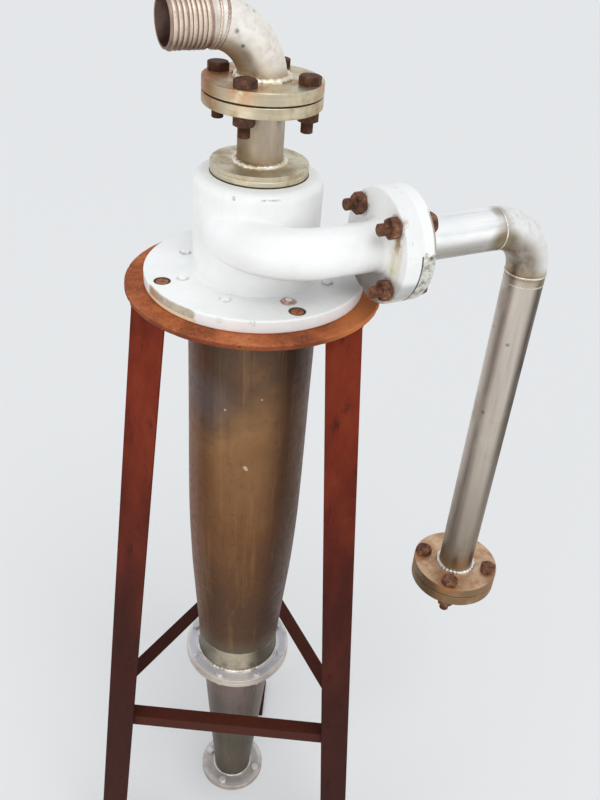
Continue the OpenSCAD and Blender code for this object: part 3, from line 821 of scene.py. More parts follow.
def flatRing(bore, outer, low, high, steps, edge=0, segments=3):
    bm = turned([(bore, low), (outer, low), (outer, high), (bore, high)], steps)
    if edge:
        bevelSharp(bm, edge, segments)
    return bm


def bevelEdges(bm, edges, width, segments=3):
    bmesh.ops.bevel(bm, geom=edges, offset=width, offset_type="OFFSET", segments=segments, profile=0.5,
                    affect="EDGES", clamp_overlap=True, material=-1)


def bevelSharp(bm, width, segments=3, angle=30):
    limit = math.radians(angle)
    edges = [e for e in bm.edges if len(e.link_faces) == 2 and e.calc_face_angle(0) > limit]
    bevelEdges(bm, edges, width, segments)


def moved(bm, matrix):
    bmesh.ops.transform(bm, matrix=matrix, verts=bm.verts)
    return bm


def joined(parts):
    whole = bmesh.new()
    for part in parts:
        mesh = bpy.data.meshes.new("part")
        part.to_mesh(mesh)
        part.free()
        whole.from_mesh(mesh)
        bpy.data.meshes.remove(mesh)
    return whole


def onCircle(bm, radius, count, start=0.0, turnEach=0.0):  # copies of bm at a radius round Z
    parts = []
    for i in range(count):
        place = rolled(start + i * math.tau / count) @ Matrix.Translation((radius, 0, 0))
        parts.append(moved(bm.copy(), place @ rolled(turnEach * (i + 1))))
    bm.free()
    return joined(parts)


def asObject(bm, name="temp"):
    mesh = bpy.data.meshes.new(name)
    bm.to_mesh(mesh)
    bm.free()
    made = bpy.data.objects.new(name, mesh)
    scene.collection.objects.link(made)
    return made


def modified(temp, *helpers):  # the mesh that the modifiers give, without the objects
    ready = temp.evaluated_get(bpy.context.evaluated_depsgraph_get())
    result = bmesh.new()
    result.from_mesh(ready.to_mesh())
    ready.to_mesh_clear()
    for used in (temp, *helpers):
        bpy.data.meshes.remove(used.data)
    return result


def combined(target, tool, operation="DIFFERENCE"):
    target, tool = asObject(target), asObject(tool)
    cut = target.modifiers.new("cut", "BOOLEAN")
    cut.operation, cut.solver, cut.object = operation, "EXACT", tool
    return modified(target, tool)


def cutter(radius, low, high, chamfer=0.0, steps=40):  # a round bar, flared where it leaves the plate
    past = 2 * mm
    wide = radius + chamfer + past if chamfer else radius
    return turned([(0, low - past), (wide, low - past), (radius, low + chamfer),
                   (radius, high - chamfer), (wide, high + past), (0, high + past)], steps, closed=False)


def drilled(bm, hole, low, high, *ring):  # ring: the circle's radius, a count and a start
    return combined(bm, onCircle(cutter(hole, low, high), *ring))


def addPiece(name, bm, material, stands=None, sharp=35):
    bm.normal_update()
    piece = asObject(bm, name)
    piece.data.materials.append(material)
    piece.data.shade_smooth()
    piece.data.set_sharp_from_angle(angle=math.radians(sharp))
    even = piece.modifiers.new("evenShading", "WEIGHTED_NORMAL")
    even.keep_sharp = True
    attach(piece, "root")
    if stands is None:  # the CAD node of the same name
        stands = ["".join("_" + letter.lower() if letter.isupper() else letter for letter in name)]
    if stands:
        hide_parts(*stands)


def addTrim(name, bm, material, sharp=80):  # what the CAD has no node for
    addPiece(name, bm, material, [], sharp)


def addWelds(name, material, slotName, *rings):  # each a place, and what weldRing takes
    beads = [moved(weldRing(*ring), place) for place, *ring in rings]
    addTrim(name, joined(beads), material)


def tubeStart(radius, place, heading, segments=72):
    bm = bmesh.new()
    aim = Matrix.Translation(place) @ heading.to_track_quat("Z", "Y").to_matrix().to_4x4()
    bmesh.ops.create_circle(bm, cap_ends=False, segments=segments, radius=radius, matrix=aim)
    return bm, bm.edges[:]


def tubeStraight(bm, edges, move, steps=1):
    for _ in range(steps):
        made = bmesh.ops.extrude_edge_only(bm, edges=edges)["geom"]
        verts = {g for g in made if isinstance(g, bmesh.types.BMVert)}
        bmesh.ops.translate(bm, verts=list(verts), vec=move / steps)
        edges = [g for g in made if isinstance(g, bmesh.types.BMEdge) and set(g.verts) <= verts]
    return edges


def tubeBend(bm, edges, centre, axis, angle, steps):
    verts = list({v for e in edges for v in e.verts})
    bmesh.ops.spin(bm, geom=verts + edges, cent=centre, axis=axis, angle=angle, steps=steps)


def wallInside(bm, thickness):
    facesOut(bm)
    bmesh.ops.solidify(bm, geom=bm.faces[:], thickness=thickness)
    return bm


def cutTall(bm, cuts):  # shares long upright edges, so that they can be uneven
    tall = [e for e in bm.edges if abs(e.verts[0].co.z - e.verts[1].co.z) > 60 * mm]
    bmesh.ops.subdivide_edges(bm, edges=tall, cuts=cuts, use_grid_fill=True)


def weldRing(radius, height, bead, ripples, seed=0.0):  # a rippled bead round Z
    bm = bmesh.new()
    lie = Matrix.Translation((radius, 0, height)) @ rolled(quarter, "X")
    bmesh.ops.create_circle(bm, cap_ends=False, segments=10, radius=bead, matrix=lie)
    fullTurn(bm, bm.verts[:] + bm.edges[:], ripples * 4)
    for v in bm.verts:
        angle = math.atan2(v.co.y, v.co.x)
        core = Vector((math.cos(angle) * radius, math.sin(angle) * radius, height))
        out = v.co - core
        ripple = math.sin(angle * ripples + out.z / bead * 0.9)
        uneven = noise.noise(core * 70 + Vector((seed, 0, 0)))
        v.co = core + out * (0.92 + 0.1 * ripple + 0.14 * uneven)
    return bm


def weldLine(start, end, bead, seed=0.0):  # a rippled bead along a straight seam
    along = end - start
    steps = max(6, int(along.length / (bead * 0.45)))
    bm, edges = tubeStart(bead, start, along, 10)
    tubeStraight(bm, edges, along, steps)
    facesOut(capped(bm))
    for v in bm.verts:
        share = (v.co - start).dot(along) / along.length_squared
        core = start + along * share
        ripple = math.sin(share * along.length / bead * 2.6)
        uneven = noise.noise(core * 90 + Vector((seed, 0, 0)))
        ends = min(1, 0.45 + 6 * min(share, 1 - share))
        v.co = core + (v.co - core) * ends * (0.9 + 0.1 * ripple + 0.2 * uneven)
    return bm


# Fasteners

pipeBolt = {
    "diameter": 16 * mm,
    "acrossFlats": 25.6 * mm,
    "headThick": 10.4 * mm,
    "nutThick": 12.8 * mm,
    "tail": 14.4 * mm,
}
coneBolt = {
    "diameter": 8 * mm,
    "acrossFlats": 12.8 * mm,
    "headThick": 5.2 * mm,
    "nutThick": 6.4 * mm,
    "tail": 2 * mm,
}


def hexBlock(acrossFlats, thickness, foot, bothEnds=True):  # chamfered hexagon standing on foot
    bm = bmesh.new()
    corner = acrossFlats / math.sqrt(3)
    bmesh.ops.create_cone(bm, cap_ends=True, cap_tris=False, segments=6, radius1=corner, radius2=corner,
                          depth=thickness, matrix=rise(thickness / 2))
    flat, drop = acrossFlats / 2 * 0.93, corner * 0.13
    wide = corner * 1.05
    low = [(0, 0), (flat, 0), (wide, drop)] if bothEnds else [(0, -drop), (wide, -drop)]
    shape = turned([*low, (wide, thickness - drop), (flat, thickness), (0, thickness)], 48, closed=False)
    bm = combined(bm, shape, "INTERSECT")
    bevelSharp(bm, acrossFlats * 0.018, 2, 20)
    return moved(bm, rise(foot))


def threadedBar(diameter, low, high, pitch=2 * mm):
    radius = diameter / 2
    points = [(0, low), (radius * 0.86, low)]
    height = low + pitch * 0.5
    while height < high - pitch * 0.5:
        points += [(radius, height), (radius * 0.9, height + pitch * 0.5)]
        height += pitch
    return turned([*points, (radius, high), (0, high)], 32, closed=False)


def addBolts(name, kind, low, high, ring, material, place=still, turnEach=0.8):
    head = hexBlock(kind["acrossFlats"], kind["headThick"], high - low, False)
    nut = moved(hexBlock(kind["acrossFlats"], kind["nutThick"], -kind["nutThick"]), rolled(0.4))
    bar = threadedBar(kind["diameter"], -kind["nutThick"] - kind["tail"], high - low)
    bolt = moved(joined([head, nut, bar]), rise(low))
    addPiece(name, moved(onCircle(bolt, *ring, turnEach), place), material)


# Stand

stand = {
    "legWidth": 50 * mm,
    "legThick": 5 * mm,
    "rootFillet": 5 * mm,
    "toeRound": 2.2 * mm,
    "heelRound": 0.8 * mm,
    "legTopReach": 179 * mm,  # heel to axis under the ring
    "legFootReach": 298 * mm,
    "directions": {"Left": 180, "Right": -60, "Back": 60},
    "braces": {"Front": (-180, -60), "Left": (60, 180), "Right": (-60, 60)},  # the legs at their ends
    "braceWidth": 25 * mm,
    "braceThick": 4 * mm,
    "braceFillet": 3.5 * mm,
    "braceToe": 1.6 * mm,
    "braceSeat": 30 * mm,
    "braceGap": 0.4 * mm,
    "footSide": 100 * mm,
    "footInward": 30 * mm,  # its middle from the leg's heel
    "footRound": 1.2 * mm,
    "anchorHole": 7 * mm,
    "anchorChamfer": 0.6 * mm,
    "anchorReach": 240 * mm,
    "ringBore": 121 * mm,
    "ringRound": 1.6 * mm,
    "ringEaten": 1.6 * mm,  # how deep rust goes into the rim
    "weldBead": 2.4 * mm,
    "weldReach": 48 * mm,  # how far along a flange of the leg
    "rimDepth": 2.5 * mm,  # what of the ring counts as its rim
}
holdHole = 6.75 * mm
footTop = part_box("foot_plates")[1].z
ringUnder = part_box("stand_ring")[0].z
legLean = math.atan((stand["legFootReach"] - stand["legTopReach"]) / (ringUnder - footTop))
legLength = (ringUnder - footTop) / math.cos(legLean)


def angleBar(width, thick, length, fillet, toe):  # heel at the origin, flanges along +X and +Y
    bm = bmesh.new()
    outline = [(0, 0), (width, 0), (width, thick), (thick, thick), (thick, width), (0, width)]
    face = bm.faces.new([bm.verts.new((x, y, 0)) for x, y in outline])
    made = bmesh.ops.extrude_face_region(bm, geom=[face])["geom"]
    bmesh.ops.translate(bm, verts=[g for g in made if isinstance(g, bmesh.types.BMVert)], vec=(0, 0, length))
    facesOut(bm)
    rounds = [([(thick, thick)], fillet, 5), ([(width, thick), (thick, width)], toe, 4),
              ([(0, 0), (width, 0), (0, width)], stand["heelRound"], 2)]
    for corners, size, segments in rounds:
        edges = [e for e in bm.edges if (e.verts[0].co.xy - e.verts[1].co.xy).length < tiny
                 and any((e.verts[0].co.xy - Vector(corner)).length < tiny for corner in corners)]
        bevelEdges(bm, edges, size, segments)
    return bm


def sliced(bm, place, normal):  # cuts off what lies on the normal's side, and caps the cut
    bmesh.ops.bisect_plane(bm, geom=bm.verts[:] + bm.edges[:] + bm.faces[:], dist=tiny,
                           plane_co=place, plane_no=normal, clear_outer=True)
    return capped(bm)


def legFrame(direction):
    foot = Matrix.Translation((stand["legFootReach"], 0, footTop))
    return rolled(math.radians(direction)) @ foot @ rolled(-legLean, "Y") @ rolled(math.radians(135))


def makeLeg(name, direction):
    overrun = stand["legWidth"]
    length = legLength + 2 * overrun
    bm = angleBar(stand["legWidth"], stand["legThick"], length, stand["rootFillet"], stand["toeRound"])
    moved(bm, legFrame(direction) @ rise(-overrun))
    sliced(bm, Vector((0, 0, ringUnder)), up)
    sliced(bm, Vector((0, 0, footTop)), -up)
    addPiece("leg" + name, bm, standPaint)


def makeBrace(name, fromDirection, toDirection):
    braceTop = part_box("brace_" + name.lower())[1].z
    heel = stand["legFootReach"] - (braceTop - footTop) * math.tan(legLean)
    seatX = heel - (stand["braceSeat"] + stand["legThick"]) * math.cos(math.pi / 4)
    seatY = (stand["braceSeat"] - stand["legThick"]) * math.cos(math.pi / 4)
    face = seatX * math.cos(math.pi / 3) + seatY * math.sin(math.pi / 3)
    half = heel * math.sin(math.pi / 3)
    bm = angleBar(stand["braceWidth"], stand["braceThick"], 2 * half, stand["braceFillet"], stand["braceToe"])
    between = math.radians((fromDirection + toDirection) / 2)
    moved(bm, rolled(between) @ Matrix.Translation((face, -half, braceTop))
          @ rolled(-quarter, "X") @ Matrix.Scale(-1, 4, right))
    bmesh.ops.reverse_faces(bm, faces=bm.faces)
    for direction, side in ((fromDirection, -1), (toDirection, 1)):
        leg = legFrame(direction)
        for inward in (right, back):
            sliced(bm, leg @ (inward * stand["legThick"]), leg.to_3x3() @ -inward)
        radial = rolled(math.radians(direction)).to_3x3() @ Vector((0, side, 0))
        sliced(bm, -radial * stand["braceGap"], radial)
    addPiece("brace" + name, bm, standPaint if name == "Left" else bracePaint)


def makeFootPlates():
    plates = []
    side = stand["footSide"]
    for direction in stand["directions"].values():
        bm = bmesh.new()
        place = Matrix.Translation((stand["legFootReach"] - stand["footInward"], 0, footTop / 2))
        bmesh.ops.create_cube(bm, size=1, matrix=place @ Matrix.Diagonal((side, side, footTop, 1)))
        bevelSharp(bm, stand["footRound"], 2)
        hole = cutter(stand["anchorHole"], 0, footTop, stand["anchorChamfer"])
        bm = combined(bm, moved(hole, Matrix.Translation((stand["anchorReach"], 0, 0))))
        plates.append(moved(bm, rolled(math.radians(direction))))
    addPiece("footPlates", joined(plates), standPaint)


def makeStandRing():
    low, high, outer = sizeOf("stand_ring")
    bm = flatRing(stand["ringBore"], outer, low, high, 160, stand["ringRound"])
    bm = drilled(bm, holdHole, low, high, holdCircle, 4)
    for v in bm.verts:  # flaking rust eats the rim unevenly
        reach = v.co.xy.length
        if reach > outer - stand["rimDepth"]:
            eaten = max(0.0, noise.fractal(v.co * 60, 1.0, 2.0, 4)) * stand["ringEaten"]
            v.co.xy *= (reach - eaten) / reach
    addPiece("standRing", bm, ringRust)


def makeStandWelds():
    beads = []
    bead, far, thick = stand["weldBead"], stand["weldReach"], stand["legThick"]
    inside, outside = (thick, thick), (0, 0)
    seams = [(inside, (far, thick)), (inside, (thick, far)), (outside, (far, 0)), (outside, (0, far))]
    for seed, direction in enumerate(stand["directions"].values()):
        leg = legFrame(direction)
        heel = (leg.to_3x3() @ up).normalized()
        for height, side in ((ringUnder, -1), (footTop, 1)):
            run = (height - footTop) / math.cos(legLean)
            for seam in seams:
                ends = [leg @ Vector((x, y, run)) for x, y in seam]
                ends = [point + heel * ((height - point.z) / heel.z) for point in ends]
                beads.append(weldLine(*(point + up * side * bead * 0.25 for point in ends), bead, seed * 3.1))
    addTrim("standWelds", joined(beads), standPaint)


for legName, legDirection in stand["directions"].items():
    makeLeg(legName, legDirection)
for braceName, braceEnds in stand["braces"].items():
    makeBrace(braceName, *braceEnds)
makeFootPlates()
makeStandRing()
makeStandWelds()
print("stand")


# Head

head = {
    "plateBore": 81 * mm,
    "plateRound": 2.6 * mm,
    "holdHead": 10 * mm,
    "holdHeadThick": 8 * mm,
    "holdRound": 1.2 * mm,
    "holdDimple": (3 * mm, 2.2 * mm, 1.4 * mm),  # rim, floor and depth
    "holdSink": 10.75 * mm,
    "holdDepth": 8.8 * mm,
    "holdBolt": 12 * mm,
    "holdPitch": 1.75 * mm,
    "holdNut": (18 * mm, 10.2 * mm),
    "screwHead": 7.5 * mm,
    "screwEdge": (1.6 * mm, 1.4 * mm),
    "screwRound": 0.7 * mm,
    "screwBolt": 8 * mm,
    "screwPitch": 1.25 * mm,
    "screwNut": (12.8 * mm, 6.4 * mm),
    "shoulder": 13 * mm,
    "foot": 5 * mm,  # fillet where the cylinder meets the plate
    "sunk": 4 * mm,
    "bendRadius": 91 * mm,
    "bendShift": 35 * mm,
    "bendSweep": 110,
    "nozzle": 33 * mm,
    "flare": 6 * mm,  # fillet where the nozzle meets its flange
    "voxel": 2.0 * mm,
    "smoothing": 9,
    "discBore": 30.45 * mm,
    "discRound": 1.5 * mm,
    "discEdge": 0.8 * mm,
    "groove": 0.9 * mm,
}


def makeHeadPlate():
    low, high, outer = sizeOf("head_plate")
    bm = flatRing(head["plateBore"], outer, low, high, 160, head["plateRound"], 4)
    bm = drilled(bm, head["holdSink"], high - head["holdDepth"], high + 2 * mm, holdCircle, 4)
    addPiece("headPlate", drilled(bm, holdHole, low, high, holdCircle, 4), whitePaint)


def makeHoldDownBolts():
    low, high = span("hold_down_bolts")
    radius, edge, foot = head["holdHead"], head["holdRound"], high - head["holdHeadThick"]
    rim, floor, depth = head["holdDimple"]
    top = turned([(0, foot), (radius, foot), (radius, high - edge), (radius - edge, high), (rim, high),
                  (floor, high - depth), (0, high - depth)], 40, closed=False)
    nut = hexBlock(*head["holdNut"], ringUnder - head["holdNut"][1])
    bolt = joined([top, nut, threadedBar(head["holdBolt"], low, foot, head["holdPitch"])])
    addPiece("holdDownBolts", onCircle(bolt, holdCircle, 4, turnEach=0.7), holdRust)


def makeHeadScrews():
    low, high = span("head_screws")
    radius = head["screwHead"]
    edge, slope = head["screwEdge"]
    top = turned([(0, plateTop), (radius, plateTop), (radius, plateTop + edge),
                  (radius - slope, high), (0, high)], 32, closed=False)
    bevelSharp(top, head["screwRound"], 2, 25)
    nut = hexBlock(*head["screwNut"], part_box("body_flange")[0].z - head["screwNut"][1])
    screw = joined([top, nut, threadedBar(head["screwBolt"], low, plateTop, head["screwPitch"])])
    addPiece("headScrews", onCircle(screw, screwCircle, 8, turnEach=0.5), whitePaint)


def makeHeadShell():
    outer = sizeOf("head_cylinder")[2]
    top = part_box("head_crown")[1].z
    under, foot = plateTop - head["sunk"], head["foot"]
    bm = turned([(0, under), (outer + foot, under), (outer + foot, plateTop), (outer, plateTop + foot),
                 (outer, top), (0, top)], 144, closed=False)
    rim = [e for e in bm.edges
           if all(abs(v.co.z - top) < tiny and v.co.xy.length > outer * 0.99 for v in e.verts)]
    bevelEdges(bm, rim, head["shoulder"], 8)
    return bm


def makeInletBar():  # bends round the head, then runs straight to its flange
    shift = head["bendShift"]
    bm, edges = tubeStart(head["nozzle"], inletAxis + right * shift, right, 64)
    centre = inletAxis + Vector((shift, head["bendRadius"], 0))
    tubeBend(bm, edges, centre, up, -math.radians(head["bendSweep"]), 40)
    front = [e for e in bm.edges if e.is_boundary and e.verts[0].co.y < inletAxis.y + 40 * mm
             and all(abs(v.co.x - shift) < tiny for v in e.verts)]
    tubeStraight(bm, front, right * (castFace + head["sunk"] - shift), 12)
    return facesOut(capped(bm))


def makeNozzleCollar():
    inner, flare, end = head["nozzle"], head["flare"], 2 * head["flare"] + head["sunk"]
    outer = inner + flare
    bm = turned([(0, 0), (inner - mm, 0), (inner, flare), (outer, 2 * flare), (outer, end), (0, end)],
                64, closed=False)
    return moved(bm, toInlet @ rise(castFace - 2 * flare))


def makeHeadCasting():  # one skin with soft fillets, as thick paint over a casting has
    solid = combined(combined(makeHeadShell(), makeInletBar(), "UNION"), makeNozzleCollar(), "UNION")
    temp = asObject(solid)
    skin = temp.modifiers.new("skin", "REMESH")
    skin.mode, skin.voxel_size = "VOXEL", head["voxel"]
    soft = temp.modifiers.new("soft", "SMOOTH")
    soft.factor, soft.iterations = 0.5, head["smoothing"]
    bm = modified(temp)
    sliced(bm, Vector((0, 0, plateTop)), -up)
    sliced(bm, right * castFace, right)
    stands = ["head_cylinder", "head_crown", "inlet_scroll", "inlet_nozzle"]
    addPiece("headCasting", bm, whitePaint, stands, 60)


def makeCoverDisc():
    low, high, outer = sizeOf("cover_disc")
    bore, edge, groove = head["discBore"], head["discRound"], (low + high) / 2 + mm
    bm = turned([(bore, low), (outer - edge, low), (outer, low + edge), (outer, groove - mm),
                 (outer - head["groove"], groove), (outer, groove + mm), (outer, high), (bore, high)], 120)
    bevelSharp(bm, head["discEdge"])
    addPiece("coverDisc", bm, discSteel)
    seam = flatRing(outer - 2 * mm, outer + 0.7 * mm, low - mm, low + 0.5 * mm, 120)
    addTrim("discSeam", seam, gasketSheet, 35)  # a dark ring of painted shadow where the disc meets the head


toInlet = Matrix.Translation(inletAxis) @ rolled(quarter, "Y")
toDrop = Matrix.Translation(dropAxis)
makeHeadPlate()
makeHoldDownBolts()
makeHeadScrews()
makeHeadCasting()
makeCoverDisc()
print("head")


# Pipes and their flanges

pipes = {
    "radius": 30.15 * mm,
    "wall": 2.8 * mm,
    "elbow": 76.2 * mm,
    "flangeRadius": 76.2 * mm,
    "castBore": 27 * mm,
    "castEdge": 2.6 * mm,
    "socket": 30.45 * mm,
    "bolts": (60.3 * mm, 4, math.pi / 4),  # circle, count and start
    "hole": 9.5 * mm,
    "edge": 1.4 * mm,
    "gasket": 49.8 * mm,
    "paintSweep": 158,
    "paintDeep": 3 * mm,
    "paintUnder": 0.3 * mm,
    "slack": 0.3 * mm,
}


def addFlange(name, ends, bore, place, material, edge=pipes["edge"]):
    bm = flatRing(bore, pipes["flangeRadius"], *ends, 144, edge)
    bm = drilled(bm, pipes["hole"], *ends, *pipes["bolts"])
    addPiece(name, moved(bm, place), material)


def addGasket(name, low, high, inner, place):
    addPiece(name, moved(flatRing(inner, pipes["gasket"], low, high, 96), place), gasketSheet)


def addPipe(name, material, start, move, steps, centre=None, angle=0):  # straight for some steps, then bent
    bm, edges = tubeStart(pipes["radius"], start, move)
    edges = tubeStraight(bm, edges, move, steps)
    if angle:
        tubeBend(bm, edges, centre, back, angle, 32)
    addPiece(name, wallInside(bm, pipes["wall"]), material)


def makeJointPaint(cast, spool):  # one coat over the upper half fills the joint
    bm = bmesh.new()
    deep = pipes["flangeRadius"] - pipes["paintDeep"]
    out = pipes["flangeRadius"] - pipes["paintUnder"]
    corners = [(deep, cast - mm), (out, cast - 3 * mm), (out, spool + 2 * mm), (deep, spool + mm)]
    verts = [bm.verts.new((reach, 0, height)) for reach, height in corners]
    face = bm.faces.new(verts)
    sweep = math.radians(pipes["paintSweep"])
    bmesh.ops.spin(bm, geom=[face, *face.edges, *verts], cent=(0, 0, 0), axis=up, angle=sweep, steps=72)
    moved(facesOut(bm), rolled(math.pi - sweep / 2))
    addTrim("jointPaint", moved(bm, toInlet), whitePaint, 60)


def makeInlet():
    cast, spool = span("inlet_flange", "x"), span("spool_flange", "x")
    addFlange("inletFlange", cast, pipes["castBore"], toInlet, whitePaint, pipes["castEdge"])
    addGasket("inletGasket", cast[1], spool[0], pipes["castBore"], toInlet)
    addFlange("spoolFlange", spool, pipes["socket"], toInlet, spoolFlangeSteel)
    addBolts("inletBolts", pipeBolt, cast[0], spool[1], pipes["bolts"], boltRust, toInlet)
    makeJointPaint(cast[1], spool[0])
    radius, elbow = pipes["radius"], inletAxis + right * elbowStart
    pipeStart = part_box("spool_pipe")[0].x
    addPipe("spoolPipe", spoolSteel, inletAxis + right * pipeStart, right * (elbowStart - pipeStart), 3)
    addPipe("spoolElbow", spoolElbowSteel, elbow, right, 0, elbow - up * pipes["elbow"], quarter)
    addPipe("dropPipe", dropPipeSteel, dropAxis + up * dropTop, up * (span("drop_pipe")[0] - dropTop), 4)
    addWelds("spoolWelds", greyWeld, "pipe_steel",
             (toInlet, radius - 1.3 * mm, elbowStart, 2 * mm, 44),
             (toDrop, radius - 0.9 * mm, dropTop, 2 * mm, 44, 4),
             (toDrop, radius - 1.5 * mm, dropTop - 15 * mm, 2 * mm, 44, 5),
             (toInlet, radius + 0.6 * mm, spool[1], 2.8 * mm, 40, 8))


def makeDrop():
    upper, lower = span("drop_flange"), span("companion_flange")
    addFlange("dropFlange", upper, pipes["socket"], toDrop, dropSteel)
    addGasket("dropGasket", lower[1], upper[0], pipes["radius"] - pipes["wall"], toDrop)
    addFlange("companionFlange", lower, pipes["socket"], toDrop, dropSteel)
    addBolts("dropBolts", pipeBolt, lower[0], upper[1], pipes["bolts"], boltRust, toDrop)
    collar = (toDrop, pipes["radius"] + 1.4 * mm, upper[1], 5.2 * mm, 30, 2)
    addWelds("dropCollar", greyWeld, "outlet_steel", collar)


def makeOutlet():
    radius, elbow = pipes["radius"], pipes["elbow"]
    lower, upper = span("outlet_lower_flange"), span("outlet_upper_flange")
    low, high = span("outlet_pipe")
    addPipe("outletPipe", stubSteel, up * low, up * (high - low), 4)
    addFlange("outletLowerFlange", lower, pipes["socket"], still, stainedSteel)
    addGasket("outletGasket", lower[1], upper[0], radius - pipes["wall"], still)
    sunk, inside = upper[1] - outletBendStart, elbow - radius
    bendSocket = elbow - math.sqrt(inside ** 2 - sunk ** 2) + pipes["slack"]
    addFlange("outletUpperFlange", upper, bendSocket, still, stainedSteel)
    addBolts("outletBolts", pipeBolt, lower[0], upper[1], pipes["bolts"], boltRust)
    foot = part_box("outlet_elbow")[0].z
    centre = Vector((-elbow, 0, outletBendStart))
    addPipe("outletElbow", elbowSteel, up * foot, up * (outletBendStart - foot), 2, centre, -quarter)
    addWelds("outletWelds", goldWeld, "outlet_steel",
             (still, radius + 2 * mm, span("cover_disc")[1], 5.6 * mm, 24, 1),
             (still, radius + mm, lower[0], 2.6 * mm, 40, 5),
             (Matrix.Translation(-right * mm), radius + 2.6 * mm, upper[1], 6.2 * mm, 22, 9))


ribs = {
    "count": 8,
    "height": 2.2 * mm,
    "reach": 0.42,  # a rib's half width as a share of the pitch
    "ends": [(84, -0.5 * mm), (78, -0.9 * mm)],  # beads on the elbow: degrees round the bend, and height
    "endBead": 2.4 * mm,
}


def makeRibbedJoint():
    low, high = span("ribbed_joint", "x")
    length = high - low
    pitch = length / (ribs["count"] + 1)
    radius, bore = pipes["radius"], pipes["radius"] - pipes["wall"]
    points = [(bore, 0), (radius, 0)]
    for rib in range(1, ribs["count"] + 1):
        uneven = noise.noise(Vector((rib * 3.7, 0, 0)))
        half = pitch * (ribs["reach"] + 0.12 * uneven)
        place, height = pitch * (rib + 0.2 * uneven), ribs["height"] * (1 + 0.35 * uneven)
        for step in range(9):
            turn = math.pi * step / 8
            points.append((radius + height * math.sin(turn), place - half * math.cos(turn)))
    bm = turned([*points, (radius, length), (bore, length)], 120)
    for v in bm.verts:
        proud = v.co.xy.length - radius
        if proud > 0:  # each rib is a laid bead, so it ripples
            angle = math.atan2(v.co.y, v.co.x)
            ripple = 0.8 + 0.12 * math.sin(angle * 38 + v.co.z * 900) + 0.22 * noise.noise(v.co * 80)
            v.co.xy *= (radius + proud * min(1, ripple)) / v.co.xy.length
    moved(bm, Matrix.Translation((high, 0, outletAxisHeight)) @ rolled(-quarter, "Y"))
    addPiece("ribbedJoint", bm, ribbedSteel, sharp=60)
    beads = []
    for sweep, proud in ribs["ends"]:
        angle = math.radians(sweep)
        place = Vector((-1 + math.cos(angle), 0, math.sin(angle))) * pipes["elbow"] + up * outletBendStart
        place = Matrix.Translation(place) @ rolled(-angle, "Y")
        beads.append((place, radius + proud, 0, ribs["endBead"], 40, sweep))
    addWelds("elbowBeads", ribbedSteel, "pipe_steel", *beads)


makeInlet()
makeDrop()
makeOutlet()
makeRibbedJoint()
print("pipes")


# Body

body = {
    "wall": 5 * mm,
    "topRadius": 93 * mm,
    "bellyRadius": 91.5 * mm,
    "endRadius": 73 * mm,
    "bellySoft": 95 * mm,  # how far the barrel rounds into the cone
    "flangeBore": 93.3 * mm,
    "bandBore": 68 * mm,
    "lowerBore": 63 * mm,
    "gasket": 78 * mm,
    "bolts": (86 * mm, 8),
    "boltHole": 4.75 * mm,
    "coneTop": 67 * mm,
    "coneFoot": 36.5 * mm,
    "coneWall": 4 * mm,
    "bandEdge": 0.8 * mm,
    "flangeEdge": 0.9 * mm,
    "underflowEdge": 1.2 * mm,
    "underflowChamfer": 0.7 * mm,
    "underflowTail": 8 * mm,
    "underflowBore": 32.5 * mm,
    "underflowBolts": (51.5 * mm, 4, math.pi / 4),
}


def makeBody():
    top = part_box("body_barrel")[1].z
    end, belly = span("body_cone")
    outline = [(body["topRadius"], top), (body["bellyRadius"], belly), (body["endRadius"], end)]
    bm = turned(outline, 144, closed=False)
    ring = [e for e in bm.edges if all(abs(v.co.z - belly) < tiny for v in e.verts)]
    bevelEdges(bm, ring, body["bellySoft"], 14)
    cutTall(bm, 10)
    for v in bm.verts:  # hammered out by hand: a slightly uneven round
        dents, ripples = max(0.0, noise.noise(v.co * 9)), abs(noise.noise(v.co * 31))
        v.co.xy *= 1 - 0.006 * dents - 0.002 * ripples
    addPiece("cycloneBody", wallInside(bm, body["wall"]), tarnishedBody, ["body_barrel", "body_cone"], 60)


def makeBodyFlange():
    low, high, outer = sizeOf("body_flange")
    bm = flatRing(body["flangeBore"], outer, low, high, 120, mm, 2)
    addPiece("bodyFlange", drilled(bm, body["boltHole"], low, high, screwCircle, 8), tarnishedBody)


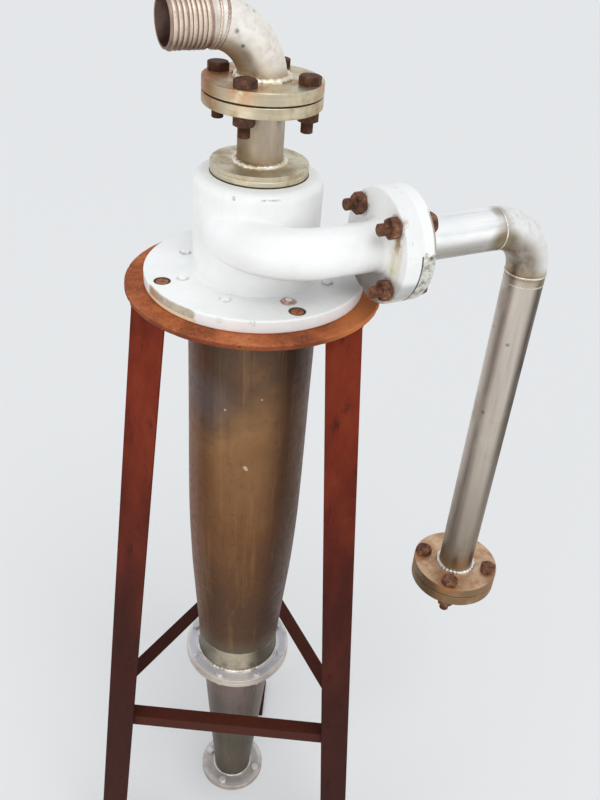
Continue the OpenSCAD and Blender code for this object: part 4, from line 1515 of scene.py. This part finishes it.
def makeConeJoint():
    low, high, outer = sizeOf("cone_band")
    bandBore = body["bandBore"]
    addPiece("coneBand", flatRing(bandBore, outer, low, high, 144, body["bandEdge"], 2), bandSteel)
    upper, lower = span("cone_flange_upper"), span("cone_flange_lower")
    for name, ends, bore in (("Upper", upper, bandBore), ("Lower", lower, body["lowerBore"])):
        bm = flatRing(bore, sizeOf("cone_flange_upper")[2], *ends, 144, body["flangeEdge"])
        addPiece("coneFlange" + name, drilled(bm, body["boltHole"], *ends, *body["bolts"]), brightSteel)
    addPiece("coneGasket", flatRing(bandBore, body["gasket"], lower[1], upper[0], 120), gasketSheet)
    addBolts("coneBolts", coneBolt, lower[0], upper[1], (*body["bolts"], 0.0), brightSteel, turnEach=0.6)
    addWelds("coneWelds", greyWeld, "stainless",
             (still, outer + 1.8 * mm, low, 3.2 * mm, 60, 3),
             (still, body["coneTop"] + 0.6 * mm, lower[0], 2.6 * mm, 80, 2))
    addWelds("bandWeld", bandSteel, "stainless", (still, outer - 0.1 * mm, high, 1.5 * mm, 90, 6))


def makeLowerCone():
    low, high = span("lower_cone")
    bm = turned([(body["coneTop"], high), (body["coneFoot"], low)], 120, closed=False)
    cutTall(bm, 14)
    for v in bm.verts:
        v.co.xy *= 1 - 0.008 * max(0.0, noise.noise(v.co * 12))
    addPiece("lowerCone", wallInside(bm, body["coneWall"]), greySteel, sharp=60)


def makeUnderflow():
    low, high, outer = sizeOf("underflow_flange")
    bm = flatRing(body["underflowBore"], outer, low, high, 120, body["underflowEdge"])
    ring = body["underflowBolts"]
    hole = cutter(body["boltHole"], low, high, body["underflowChamfer"], 32)
    addPiece("underflowFlange", combined(bm, onCircle(hole, *ring)), underflowSteel)
    kind = {**coneBolt, "tail": body["underflowTail"]}
    addBolts("underflowBolts", kind, low, high, ring, brightSteel, turnEach=0.5)
    weld = (still, body["coneFoot"] + 0.9 * mm, high, 2.4 * mm, 46, 7)
    addWelds("underflowWeld", greyWeld, "stainless", weld)


makeBody()
makeBodyFlange()
makeConeJoint()
makeLowerCone()
makeUnderflow()
print("body")
